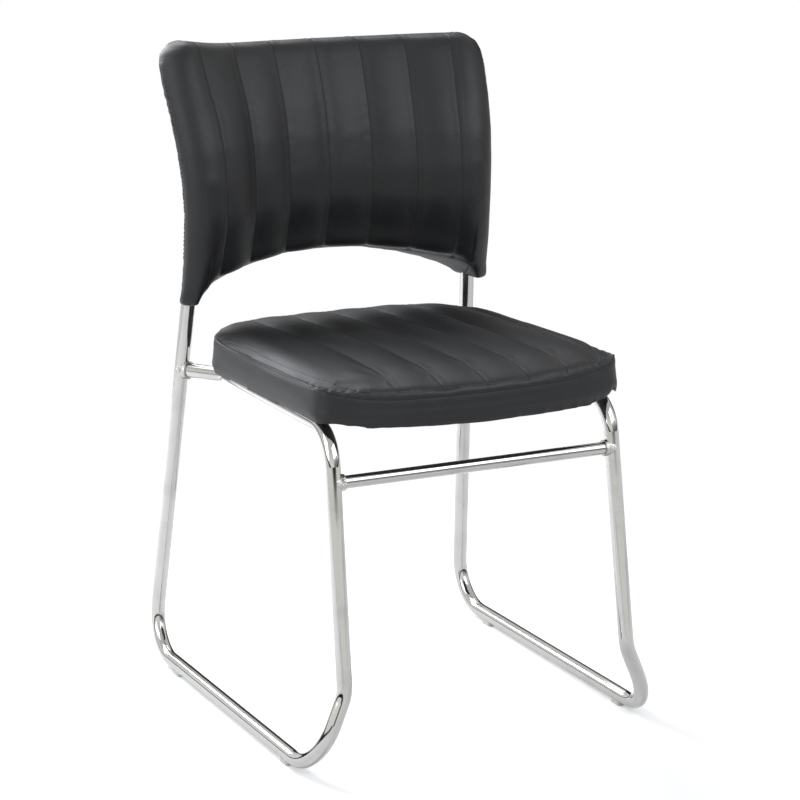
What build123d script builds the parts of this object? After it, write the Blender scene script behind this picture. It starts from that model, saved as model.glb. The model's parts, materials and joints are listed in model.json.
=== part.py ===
"""Stacking office chair: chromed sled frame, channelled seat pad and channelled back sleeve.

Millimetres, +Z up, the sitter faces -Y. The origin lies on the floor under the middle of the chair.
The right half (+X) is drawn and mirrored where a piece has a left twin.
"""

import os
from math import acos, asin, atan2, cos, sin, sqrt, tan

from build123d import *

# Chromed tube
tube_diameter = 19.0
tube_wall = 1.2
cross_bar_diameter = 16.0
weld_throat = 2.2
weld_reach = 3.5

# Sled runners and glides
runner_half_width = 234.8
runner_front_y = -261.5
runner_rear_y = 269.5
glide_height = 4.0
glide_length = 22.0
glide_width = 13.0
glide_wrap = 3.0
glide_front_y = -177.6
glide_rear_y = 176.9
glide_peg_diameter = 5.0
glide_peg_length = 6.0
foot_bend_radius = 63.0
heel_bend_radius = 56.0

# Front legs
leg_kink_height = 109.0
leg_kink_x = 195.0
leg_kink_y = -259.5
leg_kink_radius = 55.0
leg_top_radius = 48.0
cross_bar_height = 359.2

# Seat rails, which start on the uprights, kink inward and run forward under the seat
rail_front_x = 189.7
rail_front_y = -212.8
rail_front_height = 421.4
rail_rear_x = 174.0
rail_rear_y = 146.0
rail_rear_height = 411.4
stub_height = 409.5
stub_bend_radius = 35.0

# Uprights inside the back
back_bend_x = 193.4
back_bend_y = 166.0
back_bend_drop = 142.0
back_bend_radius = 350.0
upright_end_x = 187.0
upright_end_y = 211.2
upright_end_drop = 37.0
plug_flange = 2.5
plug_spigot = 10.0

# Straps that carry the seat
strap_width = 30.0
strap_thickness = 3.0
strap_front_y = -110.0
strap_rear_y = 110.0

# Seat plan
seat_front_half_width = 210.5
seat_rear_half_width = 204.5
seat_front_y = -258.0
seat_rear_y = 230.0
seat_front_bow_radius = 590.0
seat_rear_bow_radius = 670.0
seat_front_corner = 34.0
seat_rear_corner = 130.0
seat_side_draft = 6.0

# Seat build-up above the rails
cover_thickness = 1.2
seat_board_thickness = 12.0
seat_board_inset = 7.0
seat_hem_width = 30.0
seat_seam_height = 35.7
seat_seam_slope = 0.043
seat_crown_base = 37.0
seat_crown_height = 56.0
seat_edge_radius = 15.0
seat_lip_drop = 9.0
seat_lip_depth = 27.0
seat_channel_pitch = 58.0
seat_channel_depth = 3.5
seat_crown_power = 4.0
seat_front_fall = 12.0
seat_front_fall_depth = 110.0
lining_clearance = 0.3
crown_margin = 4.0
crown_stations = (-0.995, -0.98, -0.94, -0.86, -0.7, -0.4, 0.0, 0.4, 0.7, 0.86, 0.94, 0.98, 0.995)

# Seat fixings
screw_diameter = 6.0
screw_head_diameter = 11.0
screw_head_height = 3.6
screw_length = 12.0
screw_spacing_x = 250.0
screw_clearance = 0.25
washer_diameter = 14.0
washer_thickness = 1.2
t_nut_flange_diameter = 19.0
t_nut_flange_thickness = 1.5
t_nut_barrel_diameter = 8.0
t_nut_barrel_length = 9.0

# Back sleeve
back_hem_height = 502.0
back_hem_draw = 20.0
back_hem_draw_height = 90.0
back_hem_flare = 3.0
back_top_height = 832.0
back_half_width = 221.5
back_flare = 16.0
back_flare_start_drop = 192.0
back_corner_radius = 34.0
back_edge_radius = 18.0
back_top_share = 0.35
back_front_offset = 17.5
back_rear_offset = 48.0
back_side_offset = -15.0
back_side_lean = 0.085
back_tube_cover = 4.0
back_front_radius = 290.0
back_top_radius = 400.0
back_channel_pitch = 60.0
back_channel_rise = 5.0
back_seam_offset = 4.0
arch_crown_height = 547.0
arch_shoulder_height = 496.0
arch_half_width = 190.0
arch_foot_half_width = 176.0
arch_toe_half_width = 199.0
arch_toe_height = 483.0
arch_cut_drop = 100.0
arch_slope = 0.4
arch_reach = 200.0
arch_rear_y = 237.0
arch_margin = 30.0
region_margin = 30.0
back_side_turn = 16.0
back_side_bow = 0.28
back_station_drops = (0.0, 0.006, 0.018, 0.036, 0.065, 0.125, 0.25, 0.38, 0.51, 0.64, 0.82, 1.0)

# Back board
back_board_thickness = 7.0
back_board_depth = 44.5
back_board_edge = 3.0
back_board_bottom_margin = 44.0
back_board_top_margin = 52.0
back_screw_diameter = 4.5
board_shares = (0.0, 0.15, 0.3, 0.45, 0.6, 0.7, 0.8, 0.9, 1.0)
region_shares = (0.0, 0.35, 0.48, 0.61, 0.74, 0.87, 1.0)
back_screw_spacing = 80.0
back_screw_rise = 10.0
seat_gap = 0.3
board_gap = 0.6

# Worked out from the sizes above
tube_radius = tube_diameter / 2
tube_bore_radius = tube_radius - tube_wall
cross_bar_radius = cross_bar_diameter / 2
runner_height = glide_height + tube_radius
upright_end_height = back_top_height - upright_end_drop
back_bend_height = back_top_height - back_bend_drop
back_flare_start_height = back_top_height - back_flare_start_drop
back_board_top_height = back_top_height - back_board_top_margin
board_bottom_height = arch_shoulder_height + back_board_bottom_margin
board_screw_middle = (board_bottom_height + back_board_top_height) / 2 + back_screw_rise
arch_drop = arch_crown_height - arch_shoulder_height
arch_radius = (arch_half_width**2 + arch_drop**2) / (2 * arch_drop)
arch_foot_drop = arch_radius - sqrt(arch_radius**2 - arch_foot_half_width**2)
arch_foot_height = arch_crown_height - arch_foot_drop
channel_valleys = range(-3, 4)


def between(start, end, share):
    """Point at a share of the way from start to end."""
    return Vector(*start) + (Vector(*end) - Vector(*start)) * share


def rod(start, end, radius):
    """Round solid bar from one point to another."""
    axis = Vector(*end) - Vector(*start)
    with BuildPart() as bar:
        with BuildSketch(Plane(origin=start, z_dir=axis)):
            Circle(radius)
        extrude(amount=axis.length)
    return bar.part


def mirrored(part):
    """Left twin of a part on the right."""
    return mirror(part, about=Plane.YZ, mode=Mode.PRIVATE)


# Centre line of the right side frame
heel_corner = Vector(runner_half_width, runner_rear_y, runner_height)
foot_corner = Vector(runner_half_width, runner_front_y, runner_height)
leg_kink = Vector(leg_kink_x, leg_kink_y, leg_kink_height)
rail_front = Vector(rail_front_x, rail_front_y, rail_front_height)
rail_rear = Vector(rail_rear_x, rail_rear_y, rail_rear_height)
back_bend = Vector(back_bend_x, back_bend_y, back_bend_height)
upright_end = Vector(upright_end_x, upright_end_y, upright_end_height)


def upright_point(height):
    """Centre of the straight upright at a height."""
    share = (height - runner_height) / (back_bend_height - runner_height)
    return between(heel_corner, back_bend, share)


def leg_point(height):
    """Centre of the front leg at a height."""
    share = (height - leg_kink_height) / (rail_front_height - leg_kink_height)
    return between(leg_kink, rail_front, share)


stub_joint = upright_point(stub_height)
stub_direction = (rail_rear - stub_joint).normalized()
stub_end = stub_joint + stub_direction * (tube_radius + weld_throat / 4)
frame_corners = [stub_end, rail_rear, rail_front, leg_kink, foot_corner, heel_corner, back_bend,
                 upright_end]
frame_radii = [stub_bend_radius, leg_top_radius, leg_kink_radius, foot_bend_radius, heel_bend_radius,
               back_bend_radius]

# Lean of the upright below and above the back bend, seen from the side
lower_lean = atan2(back_bend_y - runner_rear_y, back_bend_height - runner_height)
upper_lean = atan2(upright_end_y - back_bend_y, upright_end_height - back_bend_height)
bend_run = back_bend_radius * tan((upper_lean - lower_lean) / 2)
bend_start_height = back_bend_height - bend_run * cos(lower_lean)
bend_end_height = back_bend_height + bend_run * cos(upper_lean)
bend_start_y = back_bend_y - bend_run * sin(lower_lean)
bend_centre_y = bend_start_y + back_bend_radius * cos(lower_lean)
bend_centre_height = bend_start_height - back_bend_radius * sin(lower_lean)


def spine_y(height):
    """Depth of the upright's centre line at a height, bend included."""
    if height < bend_start_height:
        return back_bend_y + (height - back_bend_height) * tan(lower_lean)
    if height > bend_end_height:
        return back_bend_y + (height - back_bend_height) * tan(upper_lean)
    return bend_centre_y - sqrt(back_bend_radius**2 - (height - bend_centre_height) ** 2)


def tube_reach(height):
    """Half depth of the leaning upright in a level cut, with a fitting gap."""
    lean_sine = (height - bend_centre_height) / back_bend_radius
    lean = asin(min(max(lean_sine, sin(lower_lean)), sin(upper_lean)))
    return tube_radius / cos(lean) + board_gap


def spine_x(height):
    """Half spacing of the uprights at a height."""
    if height < back_bend_height:
        return upright_point(height).X
    share = (height - back_bend_height) / (upright_end_height - back_bend_height)
    return between(back_bend, upright_end, share).X


# Plane of the seat: it lies on top of both rails
seat_tilt = atan2(rail_front_height - rail_rear_height, rail_rear_y - rail_front_y)
seat_plane = Plane(
    origin=(0, 0, rail_rear_height + rail_rear_y * tan(seat_tilt) + tube_radius / cos(seat_tilt)),
    x_dir=(1, 0, 0),
    z_dir=(0, sin(seat_tilt), cos(seat_tilt)),
)


def seat_cross_plane(depth):
    """Plane across the seat at a depth, with x to the right and y up from the rails."""
    origin = seat_plane.from_local_coords(Vector(0, depth, 0))
    return Plane(origin=origin, x_dir=seat_plane.x_dir, z_dir=-seat_plane.y_dir)


# Back board: its rear face lies on both uprights at every height
def board_radius(height):
    """Radius of the board's rear face that just meets both uprights."""
    reach = tube_reach(height)
    return (spine_x(height) ** 2 + back_board_depth**2 - reach**2) / (2 * (reach + back_board_depth))


def board_normal(height):
    """Direction from the right upright's centre square to the board, seen from above."""
    swing = acos((board_radius(height) - back_board_depth) / (board_radius(height) + tube_reach(height)))
    return Vector(-sin(swing), -cos(swing), 0)


def board_screw(height, start, end):
    """Axis points of a board screw on the right upright, measured from the tube's centre."""
    centre = Vector(spine_x(height), spine_y(height), height)
    return centre + board_normal(height) * start, centre + board_normal(height) * end


board_screw_heights = (
    board_screw_middle - back_screw_spacing / 2,
    board_screw_middle + back_screw_spacing / 2,
)
board_front_reach = tube_radius + board_gap + back_board_thickness
screw_tip_reach = tube_bore_radius / 2

os.makedirs("parts", exist_ok=True)

# Right side frame: one bent tube from the weld on the upright round to the top of the back
with BuildLine() as frame_line:
    FilletPolyline(*frame_corners, radius=frame_radii)
frame_path = frame_line.wires()[0]

def swept_tube(radius, bore=0):
    """Round tube along the right frame's centre line, solid when it has no bore."""
    with BuildPart() as bar:
        for run in frame_path.edges():
            with BuildSketch(Plane(origin=run @ 0, z_dir=run % 0)):
                Circle(radius)
                if bore:
                    Circle(bore, mode=Mode.SUBTRACT)
            sweep(path=run)
    return bar.part


hollow_tube = swept_tube(tube_radius, tube_bore_radius)
tube_space = swept_tube(tube_radius + seat_gap)

with BuildPart() as right_side_frame:
    add(hollow_tube)
    with Locations(*[(runner_half_width, y, 0) for y in (glide_front_y, glide_rear_y)]):
        Cylinder(
            radius=glide_peg_diameter / 2 + screw_clearance,
            height=runner_height,
            align=(Align.CENTER, Align.CENTER, Align.MIN),
            mode=Mode.SUBTRACT,
        )
    for height in board_screw_heights:
        add(rod(*board_screw(height, 0, board_front_reach), back_screw_diameter / 2 + screw_clearance),
            mode=Mode.SUBTRACT)
right_side_frame.part.label = "right_side_frame"
export_step(right_side_frame.part, "parts/right_side_frame.step")

with BuildPart() as left_side_frame:
    mirror(right_side_frame.part, about=Plane.YZ)
left_side_frame.part.label = "left_side_frame"
export_step(left_side_frame.part, "parts/left_side_frame.step")

# Front cross bar, coped to the front legs
bar_end = leg_point(cross_bar_height)
bar_other_end = Vector(-bar_end.X, bar_end.Y, bar_end.Z)
right_leg_space = rod(leg_kink, rail_front, tube_radius)

with BuildPart() as front_cross_bar:
    with BuildSketch(Plane(origin=bar_other_end, z_dir=bar_end - bar_other_end)):
        Circle(cross_bar_radius)
        Circle(cross_bar_radius - tube_wall, mode=Mode.SUBTRACT)
    extrude(amount=(bar_end - bar_other_end).length)
    add(right_leg_space, mode=Mode.SUBTRACT)
    add(mirrored(right_leg_space), mode=Mode.SUBTRACT)
front_cross_bar.part.label = "front_cross_bar"
export_step(front_cross_bar.part, "parts/front_cross_bar.step")

# Weld beads: where the cross bar meets the leg, and where the rail stub meets the upright
bar_inner = bar_end - Vector(tube_radius + weld_reach, 0, 0)
with BuildPart() as cross_bar_weld_right:
    add(rod(bar_inner, bar_end, cross_bar_radius + weld_throat))
    add(rod(bar_inner, bar_end, cross_bar_radius), mode=Mode.SUBTRACT)
    add(right_leg_space, mode=Mode.SUBTRACT)

stub_inner = stub_joint + stub_direction * (tube_radius + weld_reach)
with BuildPart() as rail_weld_right:
    add(rod(stub_joint, stub_inner, tube_radius + weld_throat))
    add(rod(stub_end, stub_inner + stub_direction, tube_radius), mode=Mode.SUBTRACT)
    add(rod(heel_corner, back_bend, tube_radius), mode=Mode.SUBTRACT)

for name, weld in (("cross_bar_weld", cross_bar_weld_right), ("rail_weld", rail_weld_right)):
    weld.part.label = f"{name}_right"
    export_step(weld.part, f"parts/{name}_right.step")
    with BuildPart() as weld_left:
        mirror(weld.part, about=Plane.YZ)
    weld_left.part.label = f"{name}_left"
    export_step(weld_left.part, f"parts/{name}_left.step")

# Glides: moulded saddles under the runners, each with a peg in the tube
for side, side_sign in (("right", 1), ("left", -1)):
    for end, glide_y in (("front", glide_front_y), ("rear", glide_rear_y)):
        glide_x = side_sign * runner_half_width
        with BuildPart() as glide:
            with BuildSketch():
                with Locations((glide_x, glide_y)):
                    RectangleRounded(glide_width, glide_length, glide_width / 3)
            extrude(amount=glide_height + glide_wrap)
            chamfer(glide.faces().sort_by(Axis.Z)[0].edges(), glide_height / 5)
            add(
                rod((glide_x, glide_y - glide_length, runner_height),
                    (glide_x, glide_y + glide_length, runner_height), tube_radius),
                mode=Mode.SUBTRACT,
            )
            with Locations((glide_x, glide_y, glide_height / 2)):
                Cylinder(
                    radius=glide_peg_diameter / 2,
                    height=glide_height / 2 + tube_wall + glide_peg_length,
                    align=(Align.CENTER, Align.CENTER, Align.MIN),
                )
        glide.part.label = f"glide_{end}_{side}"
        export_step(glide.part, f"parts/glide_{end}_{side}.step")

# Plugs in the upper ends of the tubes
with BuildPart() as upright_plug_right:
    with BuildSketch(Plane(origin=frame_path @ 1, z_dir=frame_path % 1)):
        Circle(tube_radius)
    extrude(amount=plug_flange)
    with BuildSketch(Plane(origin=frame_path @ 1, z_dir=frame_path % 1)):
        Circle(tube_bore_radius)
    extrude(amount=-plug_spigot)
    chamfer(upright_plug_right.edges().sort_by(Axis.Z)[-1], plug_flange / 3)
upright_plug_right.part.label = "upright_plug_right"
export_step(upright_plug_right.part, "parts/upright_plug_right.step")

with BuildPart() as upright_plug_left:
    mirror(upright_plug_right.part, about=Plane.YZ)
upright_plug_left.part.label = "upright_plug_left"
export_step(upright_plug_left.part, "parts/upright_plug_left.step")

# Seat straps: flat bars let in between the rails, level with their tops
screw_columns = (-screw_spacing_x / 2, screw_spacing_x / 2)
screw_points = [(x, y) for x in screw_columns for y in (strap_front_y, strap_rear_y)]
rail_space = rod(rail_rear, rail_front, tube_radius)
for name, strap_y in (("front_seat_strap", strap_front_y), ("rear_seat_strap", strap_rear_y)):
    with BuildPart() as strap:
        with BuildSketch(seat_plane):
            with Locations((0, strap_y)):
                Rectangle(rail_front_x + rail_rear_x, strap_width)
            with Locations(*[point for point in screw_points if point[1] == strap_y]):
                Circle(screw_diameter / 2 + screw_clearance, mode=Mode.SUBTRACT)
        extrude(amount=-strap_thickness)
        add(rail_space, mode=Mode.SUBTRACT)
        add(mirrored(rail_space), mode=Mode.SUBTRACT)
        cut_ends = strap.solids().sort_by(SortBy.VOLUME)[:-1]
        if cut_ends:
            add(cut_ends, mode=Mode.SUBTRACT)
    strap.part.label = name
    export_step(strap.part, f"parts/{name}.step")


def seat_outline(inset):
    """Plan of the seat, drawn in by an inset."""
    wide = seat_front_half_width - inset
    half = seat_rear_half_width - inset
    front = seat_front_y + inset
    rear = seat_rear_y - inset
    front_bow = seat_front_bow_radius - sqrt(seat_front_bow_radius**2 - wide**2)
    rear_bow = seat_rear_bow_radius - sqrt(seat_rear_bow_radius**2 - half**2)
    with BuildSketch() as outline:
        with BuildLine():
            ThreePointArc((-wide, front + front_bow), (0, front), (wide, front + front_bow))
            Line((wide, front + front_bow), (half, rear - rear_bow))
            ThreePointArc((half, rear - rear_bow), (0, rear), (-half, rear - rear_bow))
            Line((-half, rear - rear_bow), (-wide, front + front_bow))
        make_face()
        fillet(outline.vertices().group_by(Axis.Y)[0], seat_front_corner - inset)
        fillet(outline.vertices().group_by(Axis.Y)[-1], seat_rear_corner - inset)
    return outline.sketch


def crown_share(position):
    """Share of the crown's rise left at a position from -1 to 1."""
    return (1 - abs(position) ** seat_crown_power) ** (1 / seat_crown_power)


seat_axis = Axis(seat_plane.origin, seat_plane.z_dir)
seat_middle_y = (seat_front_y + seat_rear_y) / 2
crown_half_depth = (seat_rear_y - seat_front_y) / 2 + crown_margin
crown_half_width = seat_front_half_width + crown_margin


def seat_lip(inset):
    """Front roll that hangs below the board and is deepest in the middle."""
    outline = seat_outline(inset)
    half = seat_front_half_width - inset
    with BuildPart() as lip:
        with BuildSketch(seat_cross_plane(seat_front_y)):
            with BuildLine():
                ThreePointArc((-half, inset), (0, inset - seat_lip_drop), (half, inset))
                Line((half, inset), (-half, inset))
            make_face()
        extrude(amount=inset - seat_lip_depth)
        with BuildSketch(seat_plane.offset(-seat_lip_drop)):
            add(outline)
        extrude(amount=2 * seat_lip_drop, mode=Mode.INTERSECT)
    return lip.part


def seat_block(inset):
    """Flat-topped seat with its plan, its leaning sides and its front lip."""
    outline = seat_outline(inset)
    lip = seat_lip(inset)
    with BuildPart() as block:
        with BuildSketch(seat_plane.offset(inset)):
            add(outline)
        extrude(amount=seat_crown_height - 2 * inset, taper=seat_side_draft)
        fillet(block.faces().sort_by(seat_axis)[-1].edges(), seat_edge_radius - inset)
        add(lip)
    return block.part


def seat_crown(inset):
    """Crowned body whose top is drawn in by front-to-back channels."""
    with BuildPart() as crown:
        for station in crown_stations:
            share = crown_share(station)
            rise = (seat_crown_height - seat_crown_base) * share
            depth = seat_middle_y + station * crown_half_depth
            front_share = max(0, 1 - (depth - seat_front_y) / seat_front_fall_depth)
            base = seat_crown_base - inset - seat_front_fall * front_share**2
            valleys = []
            for valley in channel_valleys:
                x = valley * seat_channel_pitch
                height = base + rise * crown_share(x / crown_half_width) - seat_channel_depth * share
                valleys.append(Vector(x, height))
            edge = Vector(crown_half_width, base)
            stops = [Vector(-edge.X, edge.Y), *valleys, edge]
            with BuildSketch(seat_cross_plane(depth)):
                with BuildLine():
                    for start, end in zip(stops, stops[1:]):
                        x = (start.X + end.X) / 2
                        crest = Vector(x, base + rise * crown_share(x / crown_half_width))
                        ThreePointArc(start, crest, end)
                    Line(edge, (edge.X, -seat_edge_radius))
                    Line((edge.X, -seat_edge_radius), (-edge.X, -seat_edge_radius))
                    Line((-edge.X, -seat_edge_radius), (-edge.X, edge.Y))
                make_face()
        loft(ruled=True)
    return crown.part


def seat_body(inset):
    """Seat pad drawn in by an inset on every side."""
    block = seat_block(inset)
    crown = seat_crown(inset)
    with BuildPart() as body:
        add(block)
        add(crown, mode=Mode.INTERSECT)
    return body.part


seat_outer = seat_body(0)
seat_inner = seat_body(cover_thickness)
seam_plane = Plane(
    origin=seat_plane.from_local_coords(Vector(0, 0, seat_seam_height)),
    x_dir=seat_plane.x_dir,
    z_dir=seat_plane.z_dir - seat_plane.y_dir * seat_seam_slope,
)
board_plane = seat_plane.offset(cover_thickness)

# Seat board with counterbored holes for its T-nuts
board_outline = seat_outline(seat_board_inset)
with BuildPart() as seat_board:
    with BuildSketch(board_plane):
        add(board_outline)
        with Locations(*screw_points):
            Circle(t_nut_barrel_diameter / 2 + screw_clearance, mode=Mode.SUBTRACT)
    extrude(amount=seat_board_thickness)
    with BuildSketch(board_plane.offset(seat_board_thickness)):
        with Locations(*screw_points):
            Circle(t_nut_flange_diameter / 2 + screw_clearance)
    extrude(amount=-t_nut_flange_thickness, mode=Mode.SUBTRACT)
seat_board.part.label = "seat_board"
export_step(seat_board.part, "parts/seat_board.step")

# T-nuts pressed in from the top of the board
with BuildPart() as seat_t_nuts:
    with BuildSketch(board_plane.offset(seat_board_thickness)):
        with Locations(*screw_points):
            Circle(t_nut_flange_diameter / 2)
    extrude(amount=-t_nut_flange_thickness)
    with BuildSketch(board_plane.offset(seat_board_thickness - t_nut_flange_thickness)):
        with Locations(*screw_points):
            Circle(t_nut_barrel_diameter / 2)
    extrude(amount=-t_nut_barrel_length)
    with BuildSketch(board_plane):
        with Locations(*screw_points):
            Circle(screw_diameter / 2 + screw_clearance)
    extrude(amount=seat_board_thickness, mode=Mode.SUBTRACT)
seat_t_nuts.part.label = "seat_t_nuts"
export_step(seat_t_nuts.part, "parts/seat_t_nuts.step")

# Washers and pan-head screws that hold the board down on the straps
strap_underside = seat_plane.offset(-strap_thickness)
with BuildPart() as seat_washers:
    with BuildSketch(strap_underside):
        with Locations(*screw_points):
            Circle(washer_diameter / 2)
            Circle(screw_diameter / 2 + screw_clearance, mode=Mode.SUBTRACT)
    extrude(amount=-washer_thickness)
seat_washers.part.label = "seat_washers"
export_step(seat_washers.part, "parts/seat_washers.step")

screw_seat = seat_plane.offset(-strap_thickness - washer_thickness)
with BuildPart() as seat_screws:
    with BuildSketch(screw_seat):
        with Locations(*screw_points):
            Circle(screw_head_diameter / 2)
    extrude(amount=-screw_head_height)
    head_faces = seat_screws.faces().filter_by(GeomType.PLANE).group_by(seat_axis)[0]
    chamfer(head_faces.edges(), screw_head_height / 3)
    with BuildSketch(screw_seat):
        with Locations(*screw_points):
            Circle(screw_diameter / 2)
    extrude(amount=screw_length)
seat_screws.part.label = "seat_screws"
export_step(seat_screws.part, "parts/seat_screws.step")

# Foam wrapped over the board's edge
with BuildPart() as seat_foam:
    add(seat_inner)
    with BuildSketch(board_plane):
        add(board_outline)
    extrude(amount=seat_board_thickness, mode=Mode.SUBTRACT)
seat_foam.part.label = "seat_foam"
export_step(seat_foam.part, "parts/seat_foam.step")

# Cover: channelled top panel, and a side band turned under the board
with BuildPart() as seat_top_panel:
    add(seat_outer)
    add(seat_inner, mode=Mode.SUBTRACT)
    split(bisect_by=seam_plane, keep=Keep.TOP)
seat_top_panel.part.label = "seat_top_panel"
export_step(seat_top_panel.part, "parts/seat_top_panel.step")

hem_outline = seat_outline(seat_hem_width)
with BuildPart() as seat_side_band:
    add(seat_outer)
    add(seat_inner, mode=Mode.SUBTRACT)
    split(bisect_by=seam_plane, keep=Keep.BOTTOM)
    with BuildSketch(seat_plane):
        add(hem_outline)
    extrude(amount=cover_thickness, mode=Mode.SUBTRACT)
seat_side_band.part.label = "seat_side_band"
export_step(seat_side_band.part, "parts/seat_side_band.step")

# Lining that closes the underside inside the turned-under band
lining_outline = seat_outline(seat_hem_width + lining_clearance)
with BuildPart() as seat_dust_cover:
    with BuildSketch(seat_plane):
        add(lining_outline)
        with Locations(*screw_points):
            Circle(screw_diameter / 2 + screw_clearance, mode=Mode.SUBTRACT)
    extrude(amount=cover_thickness)
seat_dust_cover.part.label = "seat_dust_cover"
export_step(seat_dust_cover.part, "parts/seat_dust_cover.step")


# Back sleeve, drawn as level sections up its height
def back_width(height):
    """Half width of the sleeve at a height, flare and top corner included."""
    flare_span = back_top_height - back_flare_start_height
    flare = back_flare * max(0, height - back_flare_start_height) / flare_span
    above = max(0, height - back_top_height + back_corner_radius)
    return back_half_width + flare - back_corner_radius + sqrt(back_corner_radius**2 - above**2)


def back_fullness(height):
    """Share of the full thickness left at a height near the top edge."""
    above = max(0, height - back_top_height + back_edge_radius) / back_edge_radius
    return back_top_share + (1 - back_top_share) * sqrt(1 - above**2)


def front_radius(height):
    """Radius of the sleeve's hollow front at a height."""
    climb = max(0, height - back_bend_height) / (back_top_height - back_bend_height)
    return back_front_radius + (back_top_radius - back_front_radius) * climb


def bowed(start, end, sagitta):
    """Middle point of an arc that bows to the left of its run."""
    run = end - start
    return (start + end) * 0.5 + Vector(-run.Y, run.X) * (sagitta / run.length)


def back_section(height, inset):
    """Corners and bows of one level section, clockwise from the right rear."""
    fullness = back_fullness(height)
    width = back_width(height) - inset
    rear_corner = Vector(width - back_side_turn, tube_radius + back_tube_cover - inset)
    rear_sag = back_rear_offset - tube_radius - back_tube_cover
    radius = front_radius(height)
    half_middle = (back_rear_offset - back_front_offset) / 2
    slim = (1 - fullness) * half_middle
    hem_share = max(0, 1 - (height - back_hem_height) / back_hem_draw_height)
    draw = back_hem_draw * hem_share**2
    side_shift = back_side_lean * (height - back_bend_height) + draw / 2
    side = Vector(width + back_hem_flare * hem_share**2, back_side_offset + side_shift)
    valleys = []
    for valley in reversed(channel_valleys):
        swing = valley * back_channel_pitch / radius
        y = back_front_offset + inset + slim + draw - radius * (1 - cos(swing))
        valleys.append(Vector(radius * sin(swing), y))
    corner = rear_corner - Vector(0, slim / 2)
    stops = [corner, side, *valleys, Vector(-side.X, side.Y), Vector(-corner.X, corner.Y)]
    outer_run = (side - valleys[0]).length
    bows = [back_side_turn / 5, outer_run * back_side_bow]
    bows += [back_channel_rise * fullness] * (len(valleys) - 1)
    bows += [outer_run * back_side_bow, back_side_turn / 5]
    return stops, bows, rear_sag - slim / 2


def back_pad(inset):
    """Sleeve drawn in by an inset, with the arch cut out of its lower edge."""
    top = back_top_height - inset
    with BuildPart() as pad:
        for drop in back_station_drops:
            height = top - drop * (top - back_hem_height - inset)
            stops, bows, rear_sag = back_section(height + inset, inset)
            with BuildSketch(Plane(origin=(0, spine_y(height), height))):
                with BuildLine():
                    for start, end, bow in zip(stops, stops[1:], bows):
                        ThreePointArc(start, bowed(start, end, bow), end)
                    ThreePointArc(stops[-1], bowed(stops[-1], stops[0], rear_sag), stops[0])
                make_face()
        loft(ruled=True)
        arch_origin = (0, arch_rear_y + arch_margin, inset - arch_slope * arch_margin)
        with BuildSketch(Plane(origin=arch_origin, x_dir=(1, 0, 0), z_dir=(0, -1, 0))):
            with BuildLine():
                foot = arch_foot_half_width + inset
                toe = arch_toe_half_width + inset
                low = back_hem_height - arch_cut_drop
                ThreePointArc((-foot, arch_foot_height), (0, arch_crown_height), (foot, arch_foot_height))
                Line((foot, arch_foot_height), (toe, arch_toe_height))
                Line((toe, arch_toe_height), (toe, low))
                Line((toe, low), (-toe, low))
                Line((-toe, low), (-toe, arch_toe_height))
                Line((-toe, arch_toe_height), (-foot, arch_foot_height))
            make_face()
        extrude(amount=arch_reach, dir=(0, -1, arch_slope), mode=Mode.SUBTRACT)
    return pad.part


back_outer = back_pad(0)
back_inner = back_pad(cover_thickness)
region_heights = [
    back_hem_height - region_margin + share * (back_top_height - back_hem_height + 2 * region_margin)
    for share in region_shares
]

# Region behind the side seams, which parts the rear cover from the front cover
region_half_width = back_half_width + back_flare + region_margin
with BuildPart() as rear_region:
    for height in region_heights:
        with BuildSketch(Plane(origin=(0, spine_y(height), height))):
            with BuildLine():
                seam_middle = (back_front_offset + back_rear_offset) / 2
                rear_limit = back_rear_offset + region_margin
                ThreePointArc(
                    (-region_half_width, back_seam_offset),
                    (0, seam_middle),
                    (region_half_width, back_seam_offset),
                )
                Line((region_half_width, back_seam_offset), (region_half_width, rear_limit))
                Line((region_half_width, rear_limit), (-region_half_width, rear_limit))
                Line((-region_half_width, rear_limit), (-region_half_width, back_seam_offset))
            make_face()
    loft(ruled=True)

# Cover of the back: channelled front and plain rear, joined by the side seams
with BuildPart() as back_rear_cover:
    add(back_outer)
    add(back_inner, mode=Mode.SUBTRACT)
    add(tube_space, mode=Mode.SUBTRACT)
    add(mirrored(tube_space), mode=Mode.SUBTRACT)
    add(rear_region.part, mode=Mode.INTERSECT)
back_rear_cover.part.label = "back_rear_cover"
export_step(back_rear_cover.part, "parts/back_rear_cover.step")

with BuildPart() as back_front_cover:
    add(back_outer)
    add(back_inner, mode=Mode.SUBTRACT)
    add(tube_space, mode=Mode.SUBTRACT)
    add(mirrored(tube_space), mode=Mode.SUBTRACT)
    add(rear_region.part, mode=Mode.SUBTRACT)
back_front_cover.part.label = "back_front_cover"
export_step(back_front_cover.part, "parts/back_front_cover.step")

# Moulded plywood board of the back, arched below and rounded at its top corners
board_heights = [
    board_bottom_height + share * (back_board_top_height - board_bottom_height) for share in board_shares
]
right_screws = []
for height in board_screw_heights:
    right_screws.append(board_screw(height, screw_tip_reach, board_front_reach))

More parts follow.
